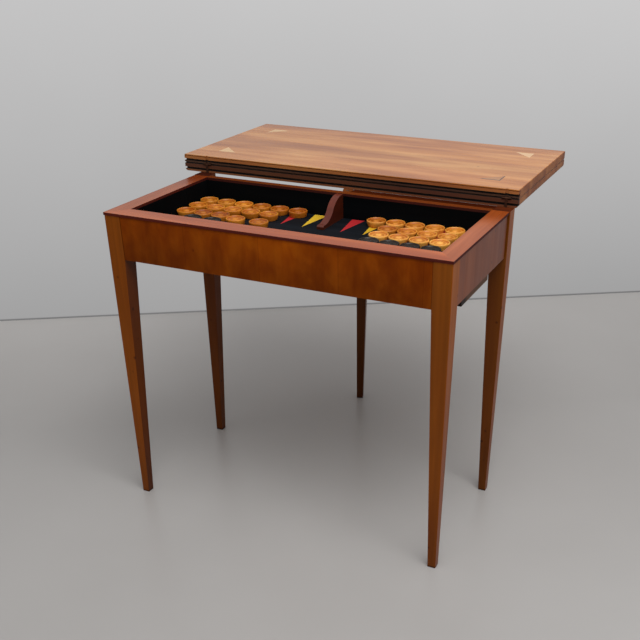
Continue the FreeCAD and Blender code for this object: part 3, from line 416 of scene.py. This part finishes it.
# Painted light along the top of the front apron, painted shade along its bottom.
apron_lit_top = band_mask(front_veneer, Z_AXIS, apron_high[2] - 0.03, BEYOND, 0.03)
stain(front_veneer, apron_lit_top, (1.26, 1.24, 0.8))
apron_shaded_bottom = band_mask(front_veneer, Z_AXIS, BELOW, apron_low[2] + 0.02, 0.03)
stain(front_veneer, apron_shaded_bottom, (0.86, 0.90, 0.75))
joint_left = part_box("front_left_leg")[1][0]
joint_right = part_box("front_right_leg")[0][0]
JOINT_LINE = 0.0012
for low, high in ((joint_left, joint_left + JOINT_LINE), (joint_right - JOINT_LINE, joint_right)):
    stain(front_veneer, band_mask(front_veneer, X_AXIS, low, high, 0.0003), (0.4, 0.35, 0.35))
dress(front_veneer, "front_apron")
SIDE_LEAF = 0.174
side_veneer = wood(
    "side_veneer", APRON_SHADES, UPRIGHT,
    gloss=0.3, specular=0.28, scales=(60, 15, 5), fibre=0.2, draw=0.4, knots=MANY_KNOTS,
)
lay_leaves(side_veneer, Y_AXIS, SIDE_LEAF, light=1.05, dark=0.94)
dress(side_veneer, "left_apron", "right_apron")

# Rim
# Thin cherry strips glued round the top of the frame, mitred at the front corners, with a brighter
# polish on top and darker edges.
RIM_SHADES = [(0.38, 0.072, 0.010), (0.47, 0.100, 0.016), (0.55, 0.130, 0.026)]
ALONG = (0, 0, 0)
ACROSS = (0, 0, 90)


def rim_wood(name, turn, lightness):
    """Cherry strip with dark dull edges."""
    shades = [[part * lightness for part in shade] for shade in RIM_SHADES]
    made = wood(name, shades, turn, gloss=0.22, specular=0.25, scales=(110, 14, 4))
    edges = band_mask(made, Z_AXIS, -0.6, 0.6, 0.2, of="Normal")
    stain(made, edges, (0.20, 0.06, 0.01))
    dull(made, edges, 0.7)
    return made


dress(rim_wood("rim_along", ALONG, 0.94), "front_rim")
rim_across = rim_wood("rim_across", ACROSS, 0.74)
rim_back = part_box("right_rim")[1][1]
# Painted reflection of the dark leaves, darkening the side strips near the fold.
painted_reflection_near_fold = band_mask(rim_across, Y_AXIS, rim_back - 0.08, BEYOND, 0.03)
stain(rim_across, painted_reflection_near_fold, (0.75, 0.62, 0.50))
dress(rim_across, "left_rim", "right_rim")
# The rear strip is a darker copy of the rim: painted shade by the folded leaves.
dress(rim_wood("rim_behind_painted_shade", ALONG, 0.42), "rear_rim")

# Rear rails
# Three cherry rails. The inner one is housed in the rear legs and closes the well. The fixed rail
# and the fly rail behind it share a wooden finger hinge, and the fly rail carries the gate leg.
RAIL_SHADES = [(0.12, 0.030, 0.006), (0.18, 0.050, 0.010), (0.25, 0.080, 0.020)]
rail_cherry = wood("rail_cherry", RAIL_SHADES, gloss=0.4, specular=0.02)
# Painted shade on the upper faces of the rails, which lie just under the leaves.
shaded_upper_edge = facing(rail_cherry, Z_AXIS)
stain(rail_cherry, shaded_upper_edge, (0.36, 0.22, 0.20))
dull(rail_cherry, shaded_upper_edge, 0.9)
dress(rail_cherry, "inner_rear_rail", "outer_rear_rail")
GATE_OPEN = (0, 0, 73)
dress(wood("fly_cherry", RAIL_SHADES, GATE_OPEN, gloss=0.34), "fly_rail")

# Carcass
# Plain softwood under the well: floor board, bearers and glue blocks, and the dark battens that
# are glued under the side aprons.
PINE_SHADES = [(0.22, 0.12, 0.05), (0.32, 0.19, 0.09), (0.42, 0.27, 0.14)]
carcass_pine = wood("carcass_pine", PINE_SHADES, gloss=0.6, specular=0.3)
dress(carcass_pine, "well_floor", "front_floor_bearer", "rear_floor_bearer", "glue_blocks")
BATTEN_SHADES = [(0.05, 0.022, 0.012), (0.08, 0.037, 0.020), (0.12, 0.058, 0.032)]
batten_wood = wood("batten_wood", BATTEN_SHADES, ACROSS, gloss=0.6, specular=0.3)
# Painted shade on the front end of each batten.
batten_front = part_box("right_batten")[0][1]
shaded_front_end = band_mask(batten_wood, Y_AXIS, BELOW, batten_front + 0.03, 0.01)
stain(batten_wood, shaded_front_end, (0.12, 0.10, 0.10))
dress(batten_wood, "left_batten", "right_batten")

# Well
# Thin lining boards stained black stand round a blue-black ground that is glued to the floor. Red
# and mustard points are let into it, six each side of the divider along both long sides.
BLACK_SHADES = [(0.0010, 0.0013, 0.0016), (0.0014, 0.0018, 0.0022), (0.0022, 0.0028, 0.0034)]
lining_black = wood("lining_black", BLACK_SHADES, gloss=0.8, specular=0.04)
dress(lining_black, "front_lining", "back_lining", "left_lining", "right_lining")
GROUND_SHADES = [(0.002, 0.003, 0.005), (0.0035, 0.005, 0.008), (0.006, 0.008, 0.012)]
ground_black = wood("ground_black", GROUND_SHADES, gloss=0.7, specular=0.12, scales=(160, 40, 6))
dress(ground_black, "well_cloth")
RED_SHADES = [(0.34, 0.012, 0.014), (0.44, 0.018, 0.022), (0.52, 0.030, 0.034)]
dress(wood("point_red", RED_SHADES, ACROSS, gloss=0.6, specular=0.2), "red_points")
YELLOW_SHADES = [(0.58, 0.34, 0.014), (0.70, 0.43, 0.022), (0.78, 0.50, 0.045)]
dress(wood("point_yellow", YELLOW_SHADES, ACROSS, gloss=0.6, specular=0.2), "yellow_points")

# Divider
# A red-brown board across the back of the well, sawn to an ogee that falls to a low nose. Its
# upward faces are painted paler than its sides, as painted light from above.
DIVIDER_SHADES = [(0.045, 0.007, 0.002), (0.075, 0.013, 0.004), (0.12, 0.025, 0.008)]
divider_wood = wood("divider_wood", DIVIDER_SHADES, ACROSS, gloss=0.3)
# Painted light: the faces that look up are paler and less glossy.
divider_lit_top = facing(divider_wood, Z_AXIS, least=0.35)
stain(divider_wood, divider_lit_top, (1.9, 1.5, 1.3))
dull(divider_wood, divider_lit_top, 0.45)
dress(divider_wood, "divider")

# Draughtsmen
# Turned discs, honey polished and black stained, with a raised rim, a ring and a middle boss.
# They stand loose in the well.
def turned(name, profile, steps):
    """Lathe-turned piece round Z; profile is radius, height in millimetres and darkening from 0 to 1."""
    work = bmesh.new()
    hollow_darkening = work.verts.layers.float.new("hollow_darkening")
    rings = []
    for radius, height, darkening in profile:
        count = 1 if radius == 0 else steps
        ring = []
        for number in range(count):
            angle = 2 * math.pi * number / steps
            at = Vector((radius * math.cos(angle), radius * math.sin(angle), height)) / 1000
            ring.append(work.verts.new(at))
            ring[-1][hollow_darkening] = darkening
        rings.append(ring)
    for lower, upper in zip(rings, rings[1:]):
        for number in range(steps):
            following = (number + 1) % steps
            corners = [
                lower[number % len(lower)],
                lower[following % len(lower)],
                upper[following % len(upper)],
                upper[number % len(upper)],
            ]
            work.faces.new(list(dict.fromkeys(corners)))
    bmesh.ops.recalc_face_normals(work, faces=work.faces)
    for face in work.faces:
        face.smooth = True
    mesh = bpy.data.meshes.new(name)
    work.to_mesh(mesh)
    work.free()
    return bpy.data.objects.new(name, mesh)


def set_out_tree():
    """Geometry nodes that stand a piece on every point, each with its own tone and turn."""
    tree = bpy.data.node_groups.new("set_out", "GeometryNodeTree")
    face = tree.interface
    face.new_socket("Geometry", in_out="INPUT", socket_type="NodeSocketGeometry")
    face.new_socket("Piece", in_out="INPUT", socket_type="NodeSocketObject")
    face.new_socket("Tilt", in_out="INPUT", socket_type="NodeSocketVector")
    face.new_socket("Size Spread", in_out="INPUT", socket_type="NodeSocketFloat")
    face.new_socket("Seed", in_out="INPUT", socket_type="NodeSocketInt")
    face.new_socket("Finish", in_out="INPUT", socket_type="NodeSocketMaterial")
    face.new_socket("Geometry", in_out="OUTPUT", socket_type="NodeSocketGeometry")
    nodes = tree.nodes
    links = tree.links
    entry = nodes.new("NodeGroupInput")
    leave = nodes.new("NodeGroupOutput")

    def chance(low, high):
        """Random number for each point."""
        node = nodes.new("FunctionNodeRandomValue")
        node.data_type = "FLOAT"
        node.inputs[2].default_value = low
        node.inputs[3].default_value = high
        links.new(entry.outputs["Seed"], node.inputs["Seed"])
        return node.outputs[1]

    piece = nodes.new("GeometryNodeObjectInfo")
    links.new(entry.outputs["Piece"], piece.inputs["Object"])
    spin = nodes.new("ShaderNodeCombineXYZ")
    links.new(chance(0, 2 * math.pi), spin.inputs["Z"])
    turn = nodes.new("ShaderNodeVectorMath")
    links.new(spin.outputs["Vector"], turn.inputs[0])
    links.new(entry.outputs["Tilt"], turn.inputs[1])
    grow = nodes.new("ShaderNodeMath")
    grow.operation = "MULTIPLY_ADD"
    links.new(chance(-1, 0), grow.inputs[0])
    links.new(entry.outputs["Size Spread"], grow.inputs[1])
    grow.inputs[2].default_value = 1.0
    stand = nodes.new("GeometryNodeInstanceOnPoints")
    links.new(entry.outputs["Geometry"], stand.inputs["Points"])
    links.new(piece.outputs["Geometry"], stand.inputs["Instance"])
    links.new(turn.outputs["Vector"], stand.inputs["Rotation"])
    links.new(grow.outputs[0], stand.inputs["Scale"])
    own_tone = nodes.new("GeometryNodeStoreNamedAttribute")
    own_tone.data_type = "FLOAT"
    own_tone.domain = "INSTANCE"
    own_tone.inputs["Name"].default_value = "tone"
    links.new(stand.outputs["Instances"], own_tone.inputs["Geometry"])
    links.new(chance(0, 1), own_tone.inputs["Value"])
    real = nodes.new("GeometryNodeRealizeInstances")
    links.new(own_tone.outputs["Geometry"], real.inputs["Geometry"])
    finish = nodes.new("GeometryNodeSetMaterial")
    links.new(real.outputs["Geometry"], finish.inputs["Geometry"])
    links.new(entry.outputs["Finish"], finish.inputs["Material"])
    links.new(finish.outputs["Geometry"], leave.inputs["Geometry"])
    return tree


set_out = set_out_tree()


def repeat(name, points, piece, material, tilt=(0, 0, 0), spread=0.0, seed=1):
    """One mesh with the piece standing on every point."""
    carrier_mesh = bpy.data.meshes.new(f"{name}_points")
    carrier_mesh.from_pydata(points, [], [])
    carrier = bpy.data.objects.new(f"{name}_points", carrier_mesh)
    for item in (carrier, piece):
        bpy.context.collection.objects.link(item)
    modifier = carrier.modifiers.new("set_out", "NODES")
    modifier.node_group = set_out
    values = {"Piece": piece, "Tilt": tilt, "Size Spread": spread, "Seed": seed, "Finish": material}
    for socket in set_out.interface.items_tree:
        if socket.in_out == "INPUT" and socket.name in values:
            modifier[socket.identifier] = values[socket.name]
    shown = carrier.evaluated_get(bpy.context.evaluated_depsgraph_get())
    mesh = bpy.data.meshes.new_from_object(shown)
    made = bpy.data.objects.new(name, mesh)
    bpy.context.collection.objects.link(made)
    carrier.modifiers.remove(modifier)
    bpy.data.objects.remove(carrier)
    bpy.context.collection.objects.unlink(piece)
    return made


def standing_places(node):
    """Middle of the foot of every separate disc in a CAD node."""
    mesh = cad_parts[node].data
    home = {}

    def root(key):
        """Any one point that stands for the whole disc."""
        while home[key] != key:
            key = home[key]
        return key

    keys = [tuple(round(part, 5) for part in vertex.co) for vertex in mesh.vertices]
    for key in keys:
        home.setdefault(key, key)
    for polygon in mesh.polygons:
        first, *others = [keys[number] for number in polygon.vertices]
        for other in others:
            home[root(other)] = root(first)
    discs = {}
    for key in home:
        discs.setdefault(root(key), []).append(key)
    places = []
    for points in discs.values():
        low = [min(values) for values in zip(*points)]
        high = [max(values) for values in zip(*points)]
        places.append(((low[0] + high[0]) / 2, (low[1] + high[1]) / 2, low[2]))
    return sorted(places)


MAN_PROFILE = [
    (0, 0, 0), (20.2, 0, 0), (21.0, 0.5, 0), (21.4, 1.5, 0.2), (22.9, 9.0, 0.1), (23.4, 11.2, 0),
    (23.4, 12.9, 0), (22.9, 14.0, 0), (22.1, 14.5, 0), (21.2, 14.5, 0), (20.4, 13.9, 0.2), (19.8, 12.4, 0.9),
    (18.6, 11.4, 1), (16.6, 11.3, 0.9), (15.8, 11.9, 0.3), (14.6, 12.1, 0.2), (13.6, 11.8, 0.5),
    (12.6, 11.3, 0.8), (8.6, 11.4, 0.7), (7.6, 12.0, 0.4), (6.6, 13.2, 0), (5.0, 13.9, 0), (0, 14.2, 0),
]


def men_wood(name, shades, gloss):
    """Turned wood, each man with a tone of its own and darker in the hollow."""
    made = wood(name, shades, gloss=gloss, specular=0.3, scales=(150, 30, 9))
    own = made.node_tree.nodes.new("ShaderNodeAttribute")
    own.attribute_name = "tone"
    tone(made, own.outputs["Fac"], (0.78, 0.70, 0.60), (1.15, 1.18, 1.2))
    # Darker towards the hollow of each man, as the profile gives.
    hollow_darkening = made.node_tree.nodes.new("ShaderNodeAttribute")
    hollow_darkening.attribute_name = "hollow_darkening"
    stain(made, hollow_darkening.outputs["Fac"], (0.62, 0.42, 0.22))
    return made


man = turned("man", MAN_PROFILE, steps=48)
HONEY_SHADES = [(0.48, 0.14, 0.010), (0.64, 0.22, 0.020), (0.78, 0.32, 0.040)]
CHARCOAL_SHADES = [(0.008, 0.005, 0.004), (0.015, 0.010, 0.008), (0.028, 0.019, 0.015)]
honey_wood = men_wood("honey_wood", HONEY_SHADES, gloss=0.34)
right_of_divider = band_mask(honey_wood, X_AXIS, 0.05, BEYOND, 0.02)
stain(honey_wood, right_of_divider, (1.18, 1.35, 2.2))
charcoal_wood = men_wood("charcoal_wood", CHARCOAL_SHADES, gloss=0.36)
for node, slot, finish, seed in (
    ("light_draughtsmen", "light_men", honey_wood, 4),
    ("dark_draughtsmen", "dark_men", charcoal_wood, 9),
):
    group = repeat(f"turned_{node}", standing_places(node), man, finish, spread=0.015, seed=seed)
    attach(group, "frame")
    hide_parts(node)

# Leaves
# Two veneered boards with long streaks, rounded on three sides and moulded with deep dark grooves
# along the hinge edge. Half a chessboard of maple and walnut is let into each inner face.
LEAF_SHADES = [(0.42, 0.125, 0.018), (0.56, 0.20, 0.040), (0.70, 0.30, 0.080)]
FEW_KNOTS = 0.72
TOP_LEAF = 0.109
HINGE_EDGE = -0.0116
MOULDING_DEPTH = 0.0090
FOLD_LOW = 0.7590
FOLD_HIGH = 0.7624
GROOVE_SHADE = (0.03, 0.02, 0.02)


def leaf_wood(name, moulding_shade):
    """Polished top with darker end grain, painted shade along the fold of its ends and painted shade in
    bands of height along the moulding.
    """
    made = wood(name, LEAF_SHADES, gloss=0.22, scales=(60, 20, 6), fibre=0.25, draw=0.12, knots=FEW_KNOTS)
    lay_leaves(made, Y_AXIS, TOP_LEAF, light=1.08, dark=0.92)
    # Painted shade on the end faces along the fold where the two leaves meet.
    fold = band_mask(made, Z_AXIS, FOLD_LOW, FOLD_HIGH, 0.0004)
    for side in (1, -1):
        end = facing(made, (side, 0, 0))
        stain(made, end, (0.54, 0.43, 0.40))
        dull(made, end, 0.55)
        stain(made, overlap(made, end, fold), (0.22, 0.18, 0.18))
    hinge_side = band_mask(made, Y_AXIS, BELOW, HINGE_EDGE + MOULDING_DEPTH, 0.0002)
    for low, high, colour in moulding_shade:
        within = band_mask(made, Z_AXIS, low, high, 0.0002)
        line = overlap(made, hinge_side, within)
        stain(made, line, colour)
        dull(made, line, 0.7)
    return made


# Painted shade in the grooves and beads of the hinge edge's moulding, in bands of height.
OUTER_MOULDING_SHADE = [
    (0.7390, 0.7447, (0.34, 0.26, 0.26)),
    (0.7447, 0.7505, GROOVE_SHADE),
    (0.7505, 0.7584, (0.16, 0.10, 0.065)),
    (0.7584, 0.7608, GROOVE_SHADE),
]
INNER_MOULDING_SHADE = [
    (0.7607, 0.7630, GROOVE_SHADE),
    (0.7630, 0.7656, (0.07, 0.05, 0.05)),
    (0.7656, 0.7709, GROOVE_SHADE),
    (0.7709, 0.7771, (0.62, 0.52, 0.45)),
    (0.7771, 0.7793, (0.45, 0.30, 0.15)),
]
dress(leaf_wood("outer_leaf_cherry", OUTER_MOULDING_SHADE), "outer_leaf_board")
dress(leaf_wood("inner_leaf_cherry", INNER_MOULDING_SHADE), "inner_leaf_board")
MAPLE_SHADES = [(0.60, 0.36, 0.16), (0.70, 0.45, 0.22), (0.78, 0.55, 0.30)]
light_maple = wood("light_maple", MAPLE_SHADES, gloss=0.22)
# Painted shade on the inlay faces that look towards the hinge edge.
shaded_edge = facing(light_maple, (0, -1, 0))
stain(light_maple, shaded_edge, (0.02, 0.012, 0.01))
dull(light_maple, shaded_edge, 0.9)
dress(light_maple, "outer_leaf_light_squares", "inner_leaf_light_squares", "outer_leaf_stringing")
dress(light_maple, "inner_leaf_stringing")
PEACH_SHADES = [(0.76, 0.44, 0.18), (0.84, 0.52, 0.24), (0.90, 0.58, 0.30)]
corner_wood = wood("corner_wood", PEACH_SHADES, gloss=0.24)
inlay_low, inlay_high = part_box("corner_inlays")
# The near right inlay has lifted a little: painted reflection darkens it and painted shadow lines run along
# its front and right edges.
LIFTED_CORNER_REFLECTION = (0.55, 0.36, 0.25)
right_half = band_mask(corner_wood, X_AXIS, 0.0, BEYOND, 0.01)
near_half = band_mask(corner_wood, Y_AXIS, BELOW, 0.2, 0.01)
near_right = overlap(corner_wood, right_half, near_half)
stain(corner_wood, near_right, LIFTED_CORNER_REFLECTION)
FRONT_SHADOW_LINE = 0.004
RIGHT_SHADOW_LINE = 0.003
for axis, low, high in (
    (Y_AXIS, BELOW, inlay_low[1] + FRONT_SHADOW_LINE),
    (X_AXIS, inlay_high[0] - RIGHT_SHADOW_LINE, BEYOND),
):
    shadow_line = overlap(corner_wood, near_right, band_mask(corner_wood, axis, low, high, 0.0003))
    stain(corner_wood, shadow_line, (0.10, 0.06, 0.05))
dress(corner_wood, "corner_inlays")
WALNUT_SHADES = [(0.035, 0.013, 0.006), (0.06, 0.025, 0.012), (0.10, 0.045, 0.022)]
dress(wood("dark_walnut", WALNUT_SHADES, gloss=0.22), "outer_leaf_dark_squares", "inner_leaf_dark_squares")

# Hinges
# Steel posts, browned by oil, are let into the rear legs, and a plate is screwed into each leaf
# beside the fold, all on one pin. A bare steel pin holds the gate's wooden fingers.
def metal(name, low, high, roughness):
    """Dull metal with cloudy tarnish."""
    made = bpy.data.materials.new(name)
    made.use_nodes = True
    nodes = made.node_tree.nodes
    links = made.node_tree.links
    shader = nodes["Principled BSDF"]
    shader.inputs["Metallic"].default_value = 1.0
    place = nodes.new("ShaderNodeTexCoord")
    tarnish = nodes.new("ShaderNodeTexNoise")
    tarnish.inputs["Scale"].default_value = 220.0
    tarnish.inputs["Detail"].default_value = 4.0
    links.new(place.outputs["Object"], tarnish.inputs["Vector"])
    shade = nodes.new("ShaderNodeValToRGB")
    shade.color_ramp.elements[0].position = 0.35
    shade.color_ramp.elements[0].color = (*low, 1)
    shade.color_ramp.elements[1].position = 0.65
    shade.color_ramp.elements[1].color = (*high, 1)
    links.new(tarnish.outputs["Fac"], shade.inputs["Fac"])
    links.new(shade.outputs["Color"], shader.inputs["Base Color"])
    rough = nodes.new("ShaderNodeMapRange")
    rough.inputs["To Min"].default_value = roughness + 0.1
    rough.inputs["To Max"].default_value = roughness - 0.1
    links.new(tarnish.outputs["Fac"], rough.inputs["Value"])
    links.new(rough.outputs["Result"], shader.inputs["Roughness"])
    return made


brown_steel = metal("brown_steel", (0.055, 0.024, 0.015), (0.10, 0.045, 0.028), 0.6)
dress(brown_steel, "hinge_posts", "outer_leaf_hinge_plates", "inner_leaf_hinge_plates")
bare_steel = metal("bare_steel", (0.25, 0.25, 0.25), (0.45, 0.45, 0.45), 0.35)
dress(bare_steel, "gate_pin", "hinge_pins")

# Hinge screws
# Three slotted steel screws in each plate, let in flush so that the leaves can close. They are
# browned with the plates and sit in a triangle.
SCREW_RADIUS = 0.0027
SCREW_SLOT = 0.0006
SCREW_PROUD = 0.00008
SCREW_DEEP = 0.0010
SCREW_PLACES = ((-0.0060, 0.003), (0.0060, 0.003), (0.0, 0.015))
HEAD_STEPS = 9
HALF_PLATE = 0.011
OUTER_FACE = 0.7606
INNER_FACE = 0.7609


def slotted_head(name):
    """Screw head in two halves with a slot between them, its face on the XY plane."""
    work = bmesh.new()
    start = math.asin(SCREW_SLOT / 2 / SCREW_RADIUS)
    for side in (0, math.pi):
        levels = []
        for height, radius in ((-SCREW_DEEP, 0.8), (SCREW_PROUD * 0.3, 1.0), (SCREW_PROUD, 0.93)):
            ring = []
            for number in range(HEAD_STEPS):
                angle = side + start + (math.pi - 2 * start) * number / (HEAD_STEPS - 1)
                reach = SCREW_RADIUS * radius
                ring.append(work.verts.new((reach * math.cos(angle), reach * math.sin(angle), height)))
            levels.append(ring)
        for lower, upper in zip(levels, levels[1:]):
            for number in range(HEAD_STEPS):
                following = (number + 1) % HEAD_STEPS
                work.faces.new((lower[number], lower[following], upper[following], upper[number]))
        work.faces.new(levels[-1])
        work.faces.new(levels[0][::-1])
    bmesh.ops.recalc_face_normals(work, faces=work.faces)
    mesh = bpy.data.meshes.new(name)
    work.to_mesh(mesh)
    work.free()
    return bpy.data.objects.new(name, mesh)


screw_head = slotted_head("screw_head")
for leaf, face, tilt, seed in (("outer_leaf", OUTER_FACE, 0, 3), ("inner_leaf", INNER_FACE, math.pi, 7)):
    plates_low, plates_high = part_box(f"{leaf}_hinge_plates")
    places = []
    for middle in (plates_low[0] + HALF_PLATE, plates_high[0] - HALF_PLATE):
        for across, back in SCREW_PLACES:
            places.append((middle + across, back, face))
    screws = repeat(f"{leaf}_screws", places, screw_head, brown_steel, tilt=(tilt, 0, 0), seed=seed)
    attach(screws, leaf)

# Room
# A smooth pale grey floor and a paler painted wall behind the table. The light is soft: an even sky
# and one large lamp under the ceiling, to the front right. The wall glows with painted light that
# grows with height where it is seen straight on or in reflections, the floor is painted lighter near
# the wall as painted light, and a painted shadow runs along the wall's foot.
def room_surface(name, shades, corners, scale, roughness):
    """Flat sheet of the room with a faint cloudiness."""
    mesh = bpy.data.meshes.new(name)
    mesh.from_pydata(corners, [], [(0, 1, 2, 3)])
    sheet = bpy.data.objects.new(name, mesh)
    bpy.context.collection.objects.link(sheet)
    made = bpy.data.materials.new(name)
    made.use_nodes = True
    nodes = made.node_tree.nodes
    shader = nodes["Principled BSDF"]
    shader.inputs["Roughness"].default_value = roughness
    shader.inputs["Specular IOR Level"].default_value = 0.5
    place = nodes.new("ShaderNodeTexCoord")
    clouds = nodes.new("ShaderNodeTexNoise")
    clouds.inputs["Scale"].default_value = scale
    clouds.inputs["Detail"].default_value = 5.0
    made.node_tree.links.new(place.outputs["Object"], clouds.inputs["Vector"])
    ramp = nodes.new("ShaderNodeValToRGB")
    ramp.color_ramp.elements[0].position = 0.3
    ramp.color_ramp.elements[1].position = 0.7
    for element, shade in zip(ramp.color_ramp.elements, shades):
        element.color = (*shade, 1)
    made.node_tree.links.new(clouds.outputs["Fac"], ramp.inputs["Fac"])
    made.node_tree.links.new(ramp.outputs["Color"], shader.inputs["Base Color"])
    mesh.materials.append(made)
    return made


def seen_directly(owner):
    """1 for what is seen straight on, in a polished surface or through a clear one."""
    tree = owner.node_tree
    ray = tree.nodes.new("ShaderNodeLightPath")
    seen = ray.outputs["Is Camera Ray"]
    for kind in ("Is Glossy Ray", "Is Transmission Ray"):
        either = tree.nodes.new("ShaderNodeMath")
        either.operation = "MAXIMUM"
        tree.links.new(seen, either.inputs[0])
        tree.links.new(ray.outputs[kind], either.inputs[1])
        seen = either.outputs[0]
    return seen


FLOOR_SHADES = [(0.42, 0.405, 0.39), (0.46, 0.445, 0.43)]
FLOOR_REACH = 9
floor_corners = [(FLOOR_REACH * x, FLOOR_REACH * y, 0) for x, y in ((-1, -1), (1, -1), (1, 1), (-1, 1))]
floor_paint = room_surface("floor", FLOOR_SHADES, floor_corners, scale=1.3, roughness=0.32)
WALL_FOOT = Vector((-1.60, 0.34, 0))
WALL_ALONG = Vector((0.852, 0.523, 0))
WALL_BACK = Vector((-0.523, 0.852, 0))
# Painted light on the floor, brighter towards the wall.
floor_lit_by_wall = band_mask(floor_paint, WALL_BACK, WALL_FOOT.dot(WALL_BACK) - 0.45, BEYOND, 0.45)
stain(floor_paint, floor_lit_by_wall, (1.42, 1.42, 1.42))
WALL_SHADES = [(0.50, 0.497, 0.498), (0.545, 0.542, 0.543)]
wall_left = WALL_FOOT - 5 * WALL_ALONG
wall_right = WALL_FOOT + 9 * WALL_ALONG
wall_rise = Vector((0, 0, 4))
wall_corners = [wall_left, wall_right, wall_right + wall_rise, wall_left + wall_rise]
wall_paint = room_surface("wall", WALL_SHADES, wall_corners, scale=0.5, roughness=0.8)
wall_nodes = wall_paint.node_tree.nodes
wall_links = wall_paint.node_tree.links
wall_colour = wall_nodes["Principled BSDF"].inputs["Base Color"].links[0].from_socket
wall_place = wall_nodes.new("ShaderNodeTexCoord")
wall_height = wall_nodes.new("ShaderNodeSeparateXYZ")
wall_links.new(wall_place.outputs["Object"], wall_height.inputs["Vector"])
# Painted light: where seen straight on or in reflections the wall glows, more strongly higher up.
wall_light_by_height = wall_nodes.new("ShaderNodeMapRange")
wall_light_by_height.inputs["From Min"].default_value = 0.0
wall_light_by_height.inputs["From Max"].default_value = 1.1
wall_light_by_height.inputs["To Min"].default_value = 0.68
wall_light_by_height.inputs["To Max"].default_value = 1.1
wall_links.new(wall_height.outputs["Z"], wall_light_by_height.inputs["Value"])
glow = wall_nodes.new("ShaderNodeEmission")
# Painted shadow along the foot of the wall.
WALL_FOOT_SHADOW_HEIGHT = 0.006
wall_foot_shadow = band_mask(wall_paint, Z_AXIS, BELOW, WALL_FOOT_SHADOW_HEIGHT, 0.002)
wall_colour_with_foot_shadow = mix(wall_paint, "MULTIPLY", wall_foot_shadow, wall_colour, (0.5, 0.5, 0.5, 1))
wall_links.new(wall_colour_with_foot_shadow, glow.inputs["Color"])
wall_links.new(wall_light_by_height.outputs["Result"], glow.inputs["Strength"])
shown_wall = wall_nodes.new("ShaderNodeMixShader")
wall_links.new(seen_directly(wall_paint), shown_wall.inputs[0])
wall_links.new(wall_nodes["Principled BSDF"].outputs[0], shown_wall.inputs[1])
wall_links.new(glow.outputs[0], shown_wall.inputs[2])
side = wall_nodes.new("ShaderNodeNewGeometry")
clear = wall_nodes.new("ShaderNodeBsdfTransparent")
one_sided = wall_nodes.new("ShaderNodeMixShader")
wall_links.new(side.outputs["Backfacing"], one_sided.inputs[0])
wall_links.new(shown_wall.outputs[0], one_sided.inputs[1])
wall_links.new(clear.outputs[0], one_sided.inputs[2])
wall_links.new(one_sided.outputs[0], wall_nodes["Material Output"].inputs["Surface"])

world = bpy.data.worlds.new("soft_light")
bpy.context.scene.world = world
world.use_nodes = True
sky_nodes = world.node_tree.nodes
sky_links = world.node_tree.links
direction = sky_nodes.new("ShaderNodeTexCoord")
height = sky_nodes.new("ShaderNodeSeparateXYZ")
sky_links.new(direction.outputs["Generated"], height.inputs["Vector"])
overhead = sky_nodes.new("ShaderNodeValToRGB")
overhead.color_ramp.elements[0].position = 0.0
overhead.color_ramp.elements[0].color = (0.09, 0.09, 0.09, 1)
overhead.color_ramp.elements[1].position = 0.9
overhead.color_ramp.elements[1].color = (0.62, 0.62, 0.63, 1)
sky_links.new(height.outputs["Z"], overhead.inputs["Fac"])
BACKDROP = (0.50, 0.50, 0.50, 1)
sky_colour = mix(world, "MIX", seen_directly(world), overhead.outputs["Color"], BACKDROP)
sky_links.new(sky_colour, sky_nodes["Background"].inputs["Color"])
sky_nodes["Background"].inputs["Strength"].default_value = 1.0


def soft_lamp(name, place, aim, size, watts):
    """Large square lamp turned towards a point."""
    data = bpy.data.lights.new(name, "AREA")
    data.size = size
    data.energy = watts
    lamp = bpy.data.objects.new(name, data)
    bpy.context.collection.objects.link(lamp)
    lamp.location = place
    lamp.rotation_euler = (Vector(aim) - Vector(place)).to_track_quat("-Z", "Y").to_euler()


soft_lamp("ceiling_light", place=(1.1, -1.25, 2.9), aim=(0.2, -0.4, 0), size=2.0, watts=60)
bpy.context.scene.view_settings.view_transform = "Standard"
